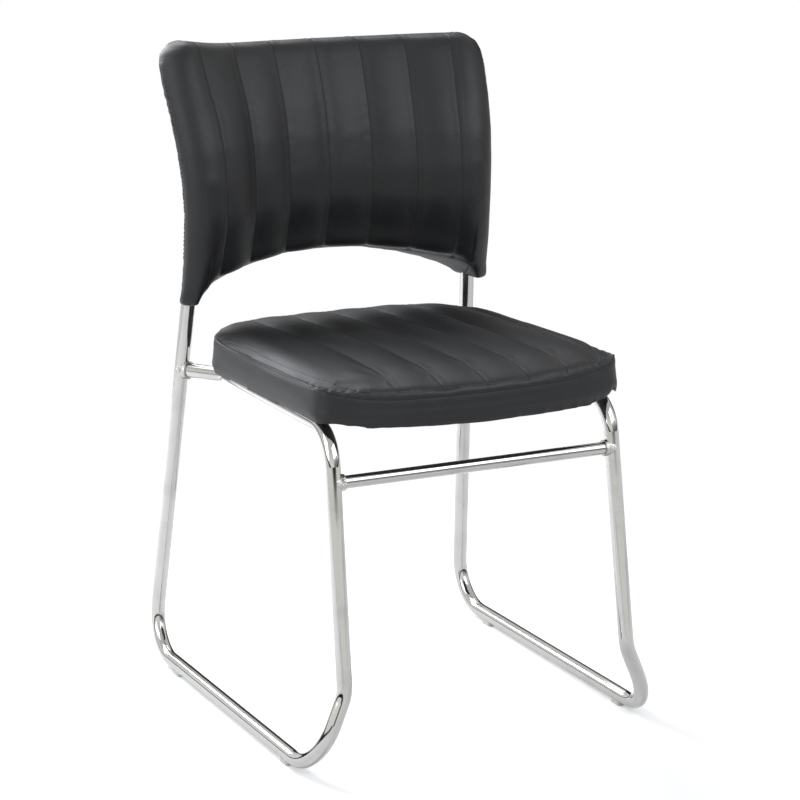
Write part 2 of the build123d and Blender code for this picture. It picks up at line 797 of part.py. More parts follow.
with BuildPart() as back_board:
    for height in board_heights:
        rear_radius = board_radius(height)
        board_half_width = spine_x(height) - back_board_edge
        edge_swing = asin(board_half_width / rear_radius)
        inner_radius = rear_radius - back_board_thickness
        edge_rear = Vector(rear_radius * sin(edge_swing), rear_radius * cos(edge_swing))
        edge_front = Vector(inner_radius * sin(edge_swing), inner_radius * cos(edge_swing))
        with BuildSketch(Plane(origin=(0, spine_y(height) + back_board_depth - rear_radius, height))):
            with BuildLine():
                ThreePointArc((-edge_rear.X, edge_rear.Y), (0, rear_radius), edge_rear)
                Line(edge_rear, edge_front)
                ThreePointArc(edge_front, (0, inner_radius), (-edge_front.X, edge_front.Y))
                Line((-edge_front.X, edge_front.Y), (-edge_rear.X, edge_rear.Y))
            make_face()
    loft(ruled=True)
    with BuildSketch(Plane.XZ) as board_front:
        with BuildLine():
            arch_low = board_bottom_height
            arch_high = arch_crown_height + back_board_bottom_margin
            ThreePointArc((-arch_half_width, arch_low), (0, arch_high), (arch_half_width, arch_low))
            Line((arch_half_width, arch_low), (region_half_width, arch_low))
            Line((region_half_width, arch_low), (region_half_width, back_board_top_height))
            Line((region_half_width, back_board_top_height), (-region_half_width, back_board_top_height))
            Line((-region_half_width, back_board_top_height), (-region_half_width, arch_low))
            Line((-region_half_width, arch_low), (-arch_half_width, arch_low))
        make_face()
    extrude(amount=arch_reach * 2, both=True, mode=Mode.INTERSECT)
    for start, end in right_screws:
        hole = rod(start, end, back_screw_diameter / 2 + screw_clearance)
        add(hole, mode=Mode.SUBTRACT)
        add(mirrored(hole), mode=Mode.SUBTRACT)
back_board.part.label = "back_board"
export_step(back_board.part, "parts/back_board.step")

# Screws through the board into the front walls of the uprights
with BuildPart() as back_screws:
    for start, end in right_screws:
        screw = rod(start, end, back_screw_diameter / 2)
        add(screw)
        add(mirrored(screw))
back_screws.part.label = "back_screws"
export_step(back_screws.part, "parts/back_screws.step")

# Foam of the back, hollowed for the board, the uprights and their plugs
with BuildPart() as back_foam:
    add(back_inner)
    add(back_board.part, mode=Mode.SUBTRACT)
    add(back_screws.part, mode=Mode.SUBTRACT)
    for space in (tube_space, upright_plug_right.part):
        add(space, mode=Mode.SUBTRACT)
        add(mirrored(space), mode=Mode.SUBTRACT)
back_foam.part.label = "back_foam"
export_step(back_foam.part, "parts/back_foam.step")
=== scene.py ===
"""Stacking office chair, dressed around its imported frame.

The chromed sled frame and the fixings come from the frame file and get their finishes here. The seat
pad and the back sleeve are soft: each is a closed form taken from its solids, blown up as cloth between
its sewn lines, then creased, puckered and stitched.
"""

import json
import logging
import math
from dataclasses import dataclass
from enum import Enum
from typing import Any

import bpy
import numpy as np
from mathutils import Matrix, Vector
from mathutils.bvhtree import BVHTree
from mathutils.kdtree import KDTree


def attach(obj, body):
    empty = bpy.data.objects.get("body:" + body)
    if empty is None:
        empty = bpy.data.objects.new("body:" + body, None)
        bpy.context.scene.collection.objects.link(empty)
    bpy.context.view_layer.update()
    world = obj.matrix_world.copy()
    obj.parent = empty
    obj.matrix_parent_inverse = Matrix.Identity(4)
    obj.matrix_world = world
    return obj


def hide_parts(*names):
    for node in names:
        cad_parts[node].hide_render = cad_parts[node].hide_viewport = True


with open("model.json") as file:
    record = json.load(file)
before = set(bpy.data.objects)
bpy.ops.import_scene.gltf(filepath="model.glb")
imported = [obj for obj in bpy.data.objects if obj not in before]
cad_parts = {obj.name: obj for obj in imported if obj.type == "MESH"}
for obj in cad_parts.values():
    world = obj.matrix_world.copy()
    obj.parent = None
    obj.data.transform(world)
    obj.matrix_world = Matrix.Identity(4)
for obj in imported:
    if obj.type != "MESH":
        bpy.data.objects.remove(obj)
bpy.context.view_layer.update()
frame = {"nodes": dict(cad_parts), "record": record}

log = logging.getLogger("chair")

Array = np.ndarray
Colour = tuple[float, float, float, float]
Place = tuple[float, float, float]
Run = tuple[float, float]


def grey(level: float, blue: float = 1.0) -> Colour:
    """Neutral colour of a level, with its blue share raised or lowered."""
    return (level, level, level * blue, 1.0)


WHITE = grey(1.0)


def smooth_step(values: Array, low: float, high: float) -> Array:
    """Smooth rise from 0 to 1 between two limits."""
    share = np.clip((values - low) / (high - low), 0.0, 1.0)
    return share * share * (3.0 - 2.0 * share)


def smooth_fall(values: Array, low: float, high: float) -> Array:
    """Smooth fall from 1 to 0 between two limits."""
    return 1.0 - smooth_step(values, low, high)


def bell(values: Array, middle: float, spread: float) -> Array:
    """Bell curve that is 1 at its middle."""
    return np.exp(-(((values - middle) / spread) ** 2))


@dataclass(frozen=True)
class Ripple:
    """Uneven wave of puckers along a seam: quick, cross and slow are in radians a metre."""

    quick: float
    cross: float
    slow: float
    sway: float
    shift: float
    cross_share: float = 0.6

    def at(self, run: Array) -> Array:
        """Height of the wave at each length along the seam."""
        swayed = np.sin(run * self.quick + self.sway * np.sin(run * self.slow))
        return swayed + self.cross_share * np.sin(run * self.cross + self.shift)


class Value:
    """Shader socket that takes part in Python arithmetic."""

    def __init__(self, graph: "Graph", socket: bpy.types.NodeSocket) -> None:
        """Keeps the socket and the graph that it belongs to."""
        self.graph = graph
        self.socket = socket

    def _math(self, operation: str, *terms: Any) -> "Value":
        """Adds one Math node on the terms."""
        return self.graph.node("ShaderNodeMath", {"operation": operation}, dict(enumerate(terms)))

    def __add__(self, other: Any) -> "Value":
        """Sum."""
        return self._math("ADD", self, other)

    def __radd__(self, other: Any) -> "Value":
        """Sum with a number on the left."""
        return self._math("ADD", other, self)

    def __sub__(self, other: Any) -> "Value":
        """Difference."""
        return self._math("SUBTRACT", self, other)

    def __rsub__(self, other: Any) -> "Value":
        """Difference from a number on the left."""
        return self._math("SUBTRACT", other, self)

    def __mul__(self, other: Any) -> "Value":
        """Product."""
        return self._math("MULTIPLY", self, other)

    def __rmul__(self, other: Any) -> "Value":
        """Product with a number on the left."""
        return self._math("MULTIPLY", other, self)

    def __abs__(self) -> "Value":
        """Size without its sign."""
        return self._math("ABSOLUTE", self)

    def rounded(self) -> "Value":
        """Nearest whole number."""
        return self._math("ROUND", self)

    def at_least(self, other: Any) -> "Value":
        """Larger of the two."""
        return self._math("MAXIMUM", self, other)

    def rise(self, low: float, high: float) -> "Value":
        """Smooth rise from 0 to 1 between two limits."""
        settings = {"interpolation_type": "SMOOTHSTEP"}
        return self.graph.node("ShaderNodeMapRange", settings, {0: self, 1: low, 2: high})

    def spread(self, low: float, high: float) -> "Value":
        """A 0 to 1 value spread over the run from low to high."""
        return self.graph.node("ShaderNodeMapRange", {}, {0: self, 3: low, 4: high})


class Graph:
    """Node tree with one method that makes any node."""

    def __init__(self, tree: bpy.types.NodeTree) -> None:
        """Empties the tree and keeps it."""
        self.tree = tree
        tree.nodes.clear()

    def feed(self, socket: bpy.types.NodeSocket, value: Any) -> None:
        """Links a Value to an input socket, or sets it there.

        Args:
            socket: The input socket.
            value: The Value to link, or what to set.
        """
        if isinstance(value, Value):
            self.tree.links.new(value.socket, socket)
        else:
            socket.default_value = value

    def node(
        self,
        kind: str,
        settings: dict[str, Any] | None = None,
        sockets: dict[Any, Any] | None = None,
        out: Any = 0,
    ) -> Value:
        """Makes one node.

        Args:
            kind: Blender's name of the node type.
            settings: Properties of the node, set first.
            sockets: Values or links of the input sockets, by name or number.
            out: Name or number of the output socket to hand back.

        Returns:
            The chosen output, or a Value with no socket where the node has none.
        """
        made = self.tree.nodes.new(kind)
        for name, value in (settings or {}).items():
            setattr(made, name, value)
        for key, value in (sockets or {}).items():
            self.feed(made.inputs[key], value)
        return Value(self, made.outputs[out]) if len(made.outputs) else Value(self, None)

    def place(self) -> Value:
        """Place on the object in metres, in the frame of the chair."""
        return self.node("ShaderNodeTexCoord", out="Object")

    def axis(self, vector: Value, name: str) -> Value:
        """One part of a vector, by the name X, Y or Z."""
        return self.node("ShaderNodeSeparateXYZ", {}, {0: vector}, out=name)

    def noise(self, vector: Value, scale: float, detail: float = 3.0) -> Value:
        """Cloudy noise from 0 to 1 with that many cells a metre."""
        sockets = {"Vector": vector, "Scale": scale, "Detail": detail}
        return self.node("ShaderNodeTexNoise", {}, sockets)

    def cells(self, vector: Value, scale: float) -> Value:
        """Distance to the middle of rounded cells, with that many cells a metre."""
        sockets = {"Vector": vector, "Scale": scale, "Smoothness": 0.5}
        return self.node("ShaderNodeTexVoronoi", {"feature": "SMOOTH_F1"}, sockets)

    def stretched(self, vector: Value, scale: Place) -> Value:
        """Place stretched along each axis."""
        return self.node("ShaderNodeMapping", {}, {"Vector": vector, "Scale": scale})

    def painted(self, name: str) -> Value:
        """Value that the mesh keeps at its points under a name."""
        return self.node("ShaderNodeAttribute", {"attribute_name": name}, out="Fac")

    def mix(self, share: Any, first: Any, second: Any) -> Value:
        """Colour between two colours."""
        return self.node("ShaderNodeMix", {"data_type": "RGBA"}, {0: share, 6: first, 7: second}, out=2)

    def bump(self, height: Value, depth: float, strength: float = 1.0) -> Value:
        """Normal of a relief whose height of 1 stands a depth in metres."""
        sockets = {"Height": height, "Distance": depth, "Strength": strength}
        return self.node("ShaderNodeBump", {}, sockets)


class Surface(Graph):
    """Material with one principled shader."""

    def __init__(self, name: str, **constants: Any) -> None:
        """Makes the material and sets what is the same all over it.

        Args:
            name: Name of the material.
            constants: Shader sockets by name, with underscores for blanks.
        """
        self.material = bpy.data.materials.new(name)
        self.material.use_nodes = True
        super().__init__(self.material.node_tree)
        shaded = self.node("ShaderNodeBsdfPrincipled")
        self.shader = shaded.socket.node
        self.node("ShaderNodeOutputMaterial", {}, {"Surface": shaded})
        self.give(**constants)

    def give(self, **sockets: Any) -> bpy.types.Material:
        """Sets or links shader sockets by name and hands back the material.

        Args:
            sockets: Values or links by socket name, with underscores for blanks.

        Returns:
            The material.
        """
        for name, value in sockets.items():
            self.feed(self.shader.inputs[name.replace("_", " ")], value)
        return self.material


@dataclass(frozen=True)
class Chrome:
    """Mirror plating with faint polishing lines and handling haze."""

    tint: Colour = (0.54, 0.535, 0.515, 1.0)
    hazed: Colour = (0.475, 0.47, 0.45, 1.0)
    haze_scale: float = 22.0
    haze_limits: Run = (0.45, 0.75)
    haze_rough: float = 0.045
    line_scale: float = 900.0
    line_stretch: Place = (1.0, 0.06, 0.06)
    line_rough: float = 0.02
    line_depth: float = 0.00002
    rough: float = 0.035

    def make(self) -> bpy.types.Material:
        """Builds the material.

        Returns:
            The material, with its nodes.
        """
        surface = Surface("chrome_plating", Metallic=1.0)
        place = surface.place()
        worn = surface.noise(place, self.haze_scale, 4.0).rise(*self.haze_limits)
        lines = surface.noise(surface.stretched(place, self.line_stretch), self.line_scale, 2.0)
        return surface.give(
            Base_Color=surface.mix(worn, self.tint, self.hazed),
            Roughness=worn * self.haze_rough + lines * self.line_rough + self.rough,
            Normal=surface.bump(lines, self.line_depth, 0.25),
        )


@dataclass(frozen=True)
class Hide:
    """Black coated cover with fine pebble grain, painted shade in the creases at its sewn lines, and a worn
    sheen.
    """

    dark: Colour = (0.0042, 0.0045, 0.0051, 1.0)
    light: Colour = (0.0085, 0.0090, 0.0102, 1.0)
    # Darker colour of the seam lines: painted shade in the creases.
    crease_shade: Colour = (0.0015, 0.0015, 0.0017, 1.0)
    gloss: float = 0.43
    channel_pitch: float = 0.059
    crease_width: float = 0.0016
    pebble_scale: float = 820.0
    pore_scale: float = 1500.0
    blotch_scale: float = 16.0
    tone_limits: Run = (0.25, 0.8)
    rough: Run = (0.42, 0.50)
    pebble_rough: float = 0.06
    crease_rough: float = 0.2
    relief_depth: float = 0.0002

    def make(self) -> bpy.types.Material:
        """Builds the material.

        Returns:
            The material, with its nodes.
        """
        surface = Surface("black_hide", Specular_IOR_Level=self.gloss)
        place = surface.place()
        pebbles = surface.cells(place, self.pebble_scale)
        pores = surface.noise(place, self.pore_scale, 2.0)
        blotch = surface.noise(place, self.blotch_scale, 4.0)
        channel = surface.painted("channel")
        gap = abs(channel - channel.rounded()) * self.channel_pitch
        quilted = (1.0 - gap.rise(0.0, self.crease_width)) * surface.painted("quilted")
        rim = abs(surface.painted("rim"))
        sewn = 1.0 - rim.rise(0.0, self.crease_width)
        line = quilted.at_least(sewn)
        tone = blotch * 0.6 + (1.0 - pebbles) * 0.4
        grained = surface.mix(tone.rise(*self.tone_limits), self.dark, self.light)
        relief = pores * 0.2 - pebbles * 0.8 - line * 2.0
        return surface.give(
            # The seam lines get the darker colour: painted shade in the creases, on top of the dents in the
            # mesh.
            Base_Color=surface.mix(line, grained, self.crease_shade),
            Roughness=blotch.spread(*self.rough) + pebbles * self.pebble_rough + line * self.crease_rough,
            Normal=surface.bump(relief, self.relief_depth, 0.5),
        )


@dataclass(frozen=True)
class WeldMetal:
    """Heat-tinted weld bead with ripples."""

    straw: Colour = (0.55, 0.54, 0.52, 1.0)
    brown: Colour = (0.22, 0.18, 0.145, 1.0)
    tint_scale: float = 130.0
    tint_limits: Run = (0.45, 0.72)
    ripple_scale: float = 420.0
    ripple_stretch: Place = (1.0, 1.0, 2.6)
    ripple_depth: float = 0.0008
    rough: Run = (0.16, 0.38)

    def make(self) -> bpy.types.Material:
        """Builds the material.

        Returns:
            The material, with its nodes.
        """
        surface = Surface("weld_bead", Metallic=1.0)
        place = surface.place()
        ripples = surface.noise(surface.stretched(place, self.ripple_stretch), self.ripple_scale, 2.0)
        tint = surface.noise(place, self.tint_scale)
        return surface.give(
            Base_Color=surface.mix(tint.rise(*self.tint_limits), self.straw, self.brown),
            Roughness=ripples.spread(*self.rough),
            Normal=surface.bump(ripples, self.ripple_depth, 0.9),
        )


@dataclass(frozen=True)
class MouldedPlastic:
    """Moulded plastic with a fine eroded skin."""

    name: str
    pale: Colour
    deep: Colour
    rough: Run
    glow: float = 0.0
    glow_depth: float = 0.004
    cloud_scale: float = 90.0
    skin_scale: float = 1600.0
    skin_depth: float = 0.0001

    def make(self) -> bpy.types.Material:
        """Builds the material.

        Returns:
            The material, with its nodes.
        """
        surface = Surface(self.name, Subsurface_Weight=self.glow, Subsurface_Scale=self.glow_depth)
        place = surface.place()
        skin = surface.noise(place, self.skin_scale, 2.0)
        cloud = surface.noise(place, self.cloud_scale)
        return surface.give(
            Base_Color=surface.mix(cloud, self.pale, self.deep),
            Roughness=cloud.spread(*self.rough),
            Normal=surface.bump(skin, self.skin_depth, 0.5),
        )


@dataclass(frozen=True)
class PaintedSteel:
    """Satin black powder coat with orange peel and rubbed spots."""

    paint: Colour = (0.018, 0.018, 0.019, 1.0)
    rubbed: Colour = (0.05, 0.05, 0.052, 1.0)
    rub_scale: float = 35.0
    rub_limits: Run = (0.55, 0.8)
    peel_scale: float = 700.0
    peel_depth: float = 0.0001
    rough: Run = (0.35, 0.5)

    def make(self) -> bpy.types.Material:
        """Builds the material.

        Returns:
            The material, with its nodes.
        """
        surface = Surface("strap_paint")
        place = surface.place()
        peel = surface.noise(place, self.peel_scale, 2.0)
        rub = surface.noise(place, self.rub_scale, 5.0).rise(*self.rub_limits)
        return surface.give(
            Base_Color=surface.mix(rub, self.paint, self.rubbed),
            Roughness=peel.spread(*self.rough),
            Normal=surface.bump(peel, self.peel_depth, 0.6),
        )


@dataclass(frozen=True)
class ZincPlate:
    """Bright zinc with a faint yellow passivation bloom."""

    bright: Colour = (0.62, 0.63, 0.64, 1.0)
    bloom: Colour = (0.56, 0.52, 0.38, 1.0)
    stain_scale: float = 160.0
    stain_limits: Run = (0.5, 0.8)
    turned_scale: float = 1400.0
    turned_stretch: Place = (1.0, 1.0, 6.0)
    turned_depth: float = 0.00003
    rough: Run = (0.22, 0.4)

    def make(self) -> bpy.types.Material:
        """Builds the material.

        Returns:
            The material, with its nodes.
        """
        surface = Surface("zinc_plate", Metallic=1.0)
        place = surface.place()
        stain = surface.noise(place, self.stain_scale)
        turned = surface.noise(surface.stretched(place, self.turned_stretch), self.turned_scale, 1.0)
        return surface.give(
            Base_Color=surface.mix(stain.rise(*self.stain_limits), self.bright, self.bloom),
            Roughness=turned.spread(*self.rough),
            Normal=surface.bump(turned, self.turned_depth, 0.5),
        )


@dataclass(frozen=True)
class Plywood:
    """Bare birch plywood with long grain and dark pores."""

    early: Colour = (0.60, 0.43, 0.26, 1.0)
    late: Colour = (0.42, 0.27, 0.145, 1.0)
    grain_scale: float = 60.0
    grain_stretch: Place = (9.0, 0.5, 5.0)
    grain_limits: Run = (0.3, 0.7)
    pore_scale: float = 500.0
    pore_stretch: Place = (5.0, 0.4, 3.0)
    relief_depth: float = 0.0002
    rough: Run = (0.55, 0.75)

    def make(self) -> bpy.types.Material:
        """Builds the material.

        Returns:
            The material, with its nodes.
        """
        surface = Surface("plywood")
        place = surface.place()
        grain = surface.noise(surface.stretched(place, self.grain_stretch), self.grain_scale, 6.0)
        pores = surface.noise(surface.stretched(place, self.pore_stretch), self.pore_scale, 2.0)
        return surface.give(
            Base_Color=surface.mix(grain.rise(*self.grain_limits), self.early, self.late),
            Roughness=pores.spread(*self.rough),
            Normal=surface.bump(grain * 0.6 + pores * 0.4, self.relief_depth, 0.5),
        )


@dataclass(frozen=True)
class NonWoven:
    """Thin non-woven lining with its pressed dots."""

    cloth: Colour = (0.022, 0.022, 0.024, 1.0)
    pressed: Colour = (0.012, 0.012, 0.013, 1.0)
    dot_scale: float = 420.0
    dot_limits: Run = (0.15, 0.45)
    fibre_scale: float = 900.0
    fibre_stretch: Place = (3.0, 0.6, 1.0)
    relief_depth: float = 0.0002
    rough: Run = (0.75, 0.95)

    def make(self) -> bpy.types.Material:
        """Builds the material.

        Returns:
            The material, with its nodes.
        """
        surface = Surface("lining_cloth")
        place = surface.place()
        dots = surface.cells(place, self.dot_scale).rise(*self.dot_limits)
        fibres = surface.noise(surface.stretched(place, self.fibre_stretch), self.fibre_scale, 4.0)
        return surface.give(
            Base_Color=surface.mix(dots * 0.7 + fibres * 0.3, self.pressed, self.cloth),
            Roughness=fibres.spread(*self.rough),
            Normal=surface.bump(dots * 0.6 + fibres * 0.4, self.relief_depth, 0.6),
        )


@dataclass(frozen=True)
class Thread:
    """Black polyester thread with twisted plies."""

    bright: Colour = (0.045, 0.045, 0.048, 1.0)
    shade: Colour = (0.014, 0.014, 0.015, 1.0)
    sheen: float = 0.15
    ply_scale: float = 1500.0
    ply_stretch: Place = (1.0, 1.0, 1.6)
    ply_limits: Run = (0.35, 0.65)
    ply_depth: float = 0.0002
    rough: Run = (0.35, 0.55)

    def make(self) -> bpy.types.Material:
        """Builds the material.

        Returns:
            The material, with its nodes.
        """
        surface = Surface("black_thread", Sheen_Weight=self.sheen)
        place = surface.place()
        plies = surface.noise(surface.stretched(place, self.ply_stretch), self.ply_scale, 1.0)
        return surface.give(
            Base_Color=surface.mix(plies.rise(*self.ply_limits), self.shade, self.bright),
            Roughness=plies.spread(*self.rough),
            Normal=surface.bump(plies, self.ply_depth, 0.6),
        )


class Finish(Enum):
    """Finishes of the chair, each with the settings of its material."""

    CHROME = Chrome()
    HIDE = Hide()
    WELD = WeldMetal()
    GLIDE = MouldedPlastic("glide_plastic", grey(0.60, 0.93), grey(0.50, 0.91), (0.3, 0.45), 0.25)
    PLUG = MouldedPlastic("plug_plastic", grey(0.025), grey(0.018), (0.4, 0.55))
    PAINT = PaintedSteel()
    ZINC = ZincPlate()
    PLYWOOD = Plywood()
    LINING = NonWoven()
    THREAD = Thread()


class Finishes:
    """Materials of the chair, each made once."""

    def __init__(self) -> None:
        """Starts with none made."""
        self.made: dict[Finish, bpy.types.Material] = {}

    def of(self, finish: Finish) -> bpy.types.Material:
        """Material of a finish.

        Args:
            finish: One of the chair's finishes.

        Returns:
            Its material, made at the first call.
        """
        if finish not in self.made:
            self.made[finish] = finish.value.make()
        return self.made[finish]

    def dress(self, piece: bpy.types.Object, finish: Finish) -> None:
        """Gives a piece its finish in every material slot.

        Args:
            piece: The piece.
            finish: Its finish.
        """
        if not piece.material_slots:
            piece.data.materials.append(None)
        for slot in piece.material_slots:
            slot.material = self.of(finish)


@dataclass
class Mesh:
    """Points and faces of a piece being made."""

    points: Array
    faces: list[tuple[int, ...]]

    def piece(self, name: str) -> bpy.types.Object:
        """Puts the mesh in the scene under a name, smooth shaded.

        Args:
            name: Name of the piece.

        Returns:
            The new piece.
        """
        data = bpy.data.meshes.new(name)
        data.from_pydata(self.points.tolist(), [], self.faces)
        data.validate()
        data.shade_smooth()
        made = bpy.data.objects.new(name, data)
        bpy.context.collection.objects.link(made)
        return made


def read_points(mesh: bpy.types.Mesh) -> Array:
    """Points of a mesh as rows of an array.

    Args:
        mesh: The mesh.

    Returns:
        One row for each point.
    """
    flat = np.empty(len(mesh.vertices) * 3, dtype=np.float64)
    mesh.vertices.foreach_get("co", flat)
    return flat.reshape(-1, 3)


def read_normals(mesh: bpy.types.Mesh) -> Array:
    """Point normals of a mesh as rows of an array.

    Args:
        mesh: The mesh.

    Returns:
        One row for each point.
    """
    flat = np.empty(len(mesh.vertices) * 3, dtype=np.float32)
    mesh.vertex_normals.foreach_get("vector", flat)
    return flat.reshape(-1, 3).astype(np.float64)


def read_edges(mesh: bpy.types.Mesh) -> Array:
    """Edges of a mesh as rows of two point numbers.

    Args:
        mesh: The mesh.

    Returns:
        One row for each edge.
    """
    flat = np.empty(len(mesh.edges) * 2, dtype=np.int64)
    mesh.edges.foreach_get("vertices", flat)
    return flat.reshape(-1, 2)


def write_points(mesh: bpy.types.Mesh, points: Array) -> None:
    """Moves the points of a mesh."""
    mesh.vertices.foreach_set("co", points.ravel())
    mesh.update()


def evaluated(piece: bpy.types.Object) -> bpy.types.Mesh:
    """New mesh of a piece with its modifiers applied."""
    graph = bpy.context.evaluated_depsgraph_get()
    return bpy.data.meshes.new_from_object(piece.evaluated_get(graph), depsgraph=graph)


@dataclass
class Pad:
    """Stuffed piece that is blown up as cloth between its sewn lines."""

    name: str
    solids: tuple[str, ...]
    replaced: tuple[str, ...]
    fill: float
    voxel: float = 0.0045
    draw_in: float = 0.0015
    pressure: float = 4.0
    most_growth: float = 0.005
    sim_frames: int = 20
    cloth_quality: int = 5
    cloth_mass: float = 0.3
    stretch: float = 15.0
    shear: float = 5.0
    bending: float = 0.5
    relax_steps: Run = (0.5, -0.52)
    relax_rounds: int = 7
    settle_rounds: int = 2
    loose_step: float = 0.5
    loose_rounds: int = 12
    crease_depth: float = 0.0013
    crease_reach: float = 0.0034
    pitch: float = Finish.HIDE.value.channel_pitch
    channel_hold: float = 0.95
    channel_reach: Run = (0.002, 0.006)
    seam_hold: float = 0.9

    def sewn(self, points: Array, normals: Array) -> Array:
        """How firmly each point is held by seams and boards, from 0 to 1."""
        raise NotImplementedError

    def loose(self, points: Array, normals: Array) -> Array:
        """How freely the cover evens out at each point, from 0 to 1."""
        raise NotImplementedError

    def channel(self, points: Array, normals: Array) -> tuple[Array, Array]:
        """Channel count across the pad, and where the channels are, from 0 to 1."""
        raise NotImplementedError

    def rim(self, points: Array, normals: Array) -> Array:
        """Signed distance to the pad's edge seam in metres."""
        raise NotImplementedError

    def fold(self, points: Array, normals: Array) -> Array:
        """Moves that puckers and folds add to the points."""
        raise NotImplementedError

    def drape(self, points: Array, normals: Array) -> Array:
        """Slow moves that lay the cover after its seams are marked."""
        raise NotImplementedError

    def quilt(self, points: Array, normals: Array) -> Array:
        """Channel seams hold the cover.

        Args:
            points: Places of the cover's points.
            normals: Directions in which they face.

        Returns:
            How firmly each point is held, from 0 to 1.
        """
        count, quilted = self.channel(points, normals)
        gap = np.abs(count - np.round(count)) * self.pitch
        return self.channel_hold * quilted * smooth_fall(gap, *self.channel_reach)

    def build(self) -> bpy.types.Object:
        """Makes the pad and puts it in the scene.

        Returns:
            The pad, with its paint values, riding on the chair.
        """
        piece = self._blank()
        self._remesh(piece)
        self._inflate(piece)
        self._subdivide(piece)
        self._crease(piece)
        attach(piece, "root")
        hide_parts(*self.replaced)
        log.info("%s: %d faces", self.name, len(piece.data.polygons))
        return piece

    def _blank(self) -> bpy.types.Object:
        """Closed form joined from copies of the pad's solids.

        Returns:
            The form as a piece of its own.
        """
        points: list[Array] = []
        faces: list[tuple[int, ...]] = []
        count = 0
        for node in self.solids:
            mesh = frame["nodes"][node].data
            part = read_points(mesh)
            faces += [tuple(count + i for i in face.vertices) for face in mesh.polygons]
            points.append(part)
            count += len(part)
        return Mesh(np.vstack(points), faces).piece(self.name)

    def _swap(self, piece: bpy.types.Object, mesh: bpy.types.Mesh) -> None:
        """Puts a new mesh in the piece and drops its modifiers and old mesh.

        Args:
            piece: The piece.
            mesh: Its new mesh.
        """
        piece.modifiers.clear()
        old = piece.data
        piece.data = mesh
        bpy.data.meshes.remove(old)
        mesh.name = self.name
        mesh.shade_smooth()

    def _remesh(self, piece: bpy.types.Object) -> None:
        """Even mesh of the outer skin, relaxed and drawn in a little.

        Args:
            piece: The form, which gets the mesh.
        """
        remesh = piece.modifiers.new("skin", "REMESH")
        remesh.mode = "VOXEL"
        remesh.voxel_size = self.voxel
        self._swap(piece, evaluated(piece))
        self._keep_outer(piece.data)
        write_points(piece.data, self._relaxed(piece.data, self.relax_steps * self.relax_rounds))
        points = read_points(piece.data)
        loose = self.loose(points, read_normals(piece.data))
        points = self._relaxed(piece.data, (self.loose_step,) * self.loose_rounds, loose)
        write_points(piece.data, points)
        hold = 1.0 - self.sewn(points, read_normals(piece.data))
        write_points(piece.data, points - read_normals(piece.data) * (self.draw_in * hold)[:, None])

    @staticmethod
    def _keep_outer(mesh: bpy.types.Mesh) -> None:
        """Removes every shell but the one with the most points.

        Args:
            mesh: The mesh, changed in place.
        """
        first, second = read_edges(mesh).T
        shell = np.arange(len(mesh.vertices))
        while True:
            low = np.minimum(shell[first], shell[second])
            new = shell.copy()
            np.minimum.at(new, first, low)
            np.minimum.at(new, second, low)
            new = new[new]
            if np.array_equal(new, shell):
                break
            shell = new
        names, counts = np.unique(shell, return_counts=True)
        outer = shell == names[counts.argmax()]
        if outer.all():
            return
        renumbered = np.cumsum(outer) - 1
        points = read_points(mesh)[outer]
        kept = [f.vertices for f in mesh.polygons if outer[f.vertices[0]]]
        faces = [tuple(int(renumbered[i]) for i in face) for face in kept]
        mesh.clear_geometry()
        mesh.from_pydata(points.tolist(), [], faces)
        mesh.update()
        mesh.shade_smooth()

    @staticmethod
    def _relaxed(mesh: bpy.types.Mesh, steps: tuple[float, ...], share: Array | float = 1.0) -> Array:
        """Points of a mesh drawn to the middle of their neighbours.

        Args:
            mesh: The mesh.
            steps: How far each round draws, and back where negative.
            share: How freely each point takes part, from 0 to 1.

        Returns:
            The new points.
        """
        points = read_points(mesh)
        edges = read_edges(mesh)
        first, second = edges.T
        count = np.bincount(edges.ravel(), minlength=len(points))[:, None]
        free = np.broadcast_to(share, len(points))[:, None]
        for step in steps:
            total = np.zeros_like(points)
            np.add.at(total, first, points[second])
            np.add.at(total, second, points[first])
            points = points + step * free * (total / count - points)
        return points

    def _inflate(self, piece: bpy.types.Object) -> None:
        """Blows the pad up as cloth held at its sewn lines, with a limit on every point.

        Args:
            piece: The pad, whose points move.
        """
        start = read_points(piece.data)
        held = self.sewn(start, read_normals(piece.data))
        group = piece.vertex_groups.new(name="sewn")
        for level in np.unique(np.round(held, 1)):
            chosen = np.flatnonzero(np.round(held, 1) == level)
            if level > 0.0:
                group.add(chosen.tolist(), float(level), "REPLACE")
        cloth = piece.modifiers.new("cover", "CLOTH")
        settings = cloth.settings
        settings.quality = self.cloth_quality
        settings.mass = self.cloth_mass
        settings.tension_stiffness = self.stretch
        settings.compression_stiffness = self.stretch
        settings.shear_stiffness = self.shear
        settings.bending_stiffness = self.bending
        settings.use_pressure = True
        settings.uniform_pressure_force = self.pressure
        settings.vertex_group_mass = "sewn"
        settings.pin_stiffness = 1.0
        settings.effector_weights.gravity = 0.0
        cloth.collision_settings.use_collision = False
        cloth.point_cache.frame_end = self.sim_frames
        scene = bpy.context.scene
        for step in range(1, self.sim_frames + 1):
            scene.frame_set(step)
        blown = evaluated(piece)
        move = read_points(blown) - start
        bpy.data.meshes.remove(blown)
        length = np.linalg.norm(move, axis=1)
        limit = self.most_growth * np.tanh(length / self.most_growth)
        move *= (limit / np.maximum(length, 1e-9))[:, None]
        piece.modifiers.clear()
        piece.vertex_groups.clear()
        scene.frame_set(1)
        write_points(piece.data, start + move)
        write_points(piece.data, self._relaxed(piece.data, self.relax_steps * self.settle_rounds))
        log.info("%s: cloth moved up to %.1f mm", self.name, limit.max() * 1000.0)

    def _subdivide(self, piece: bpy.types.Object) -> None:
        """One round of subdivision."""
        piece.modifiers.new("finer", "SUBSURF").levels = 1
        self._swap(piece, evaluated(piece))

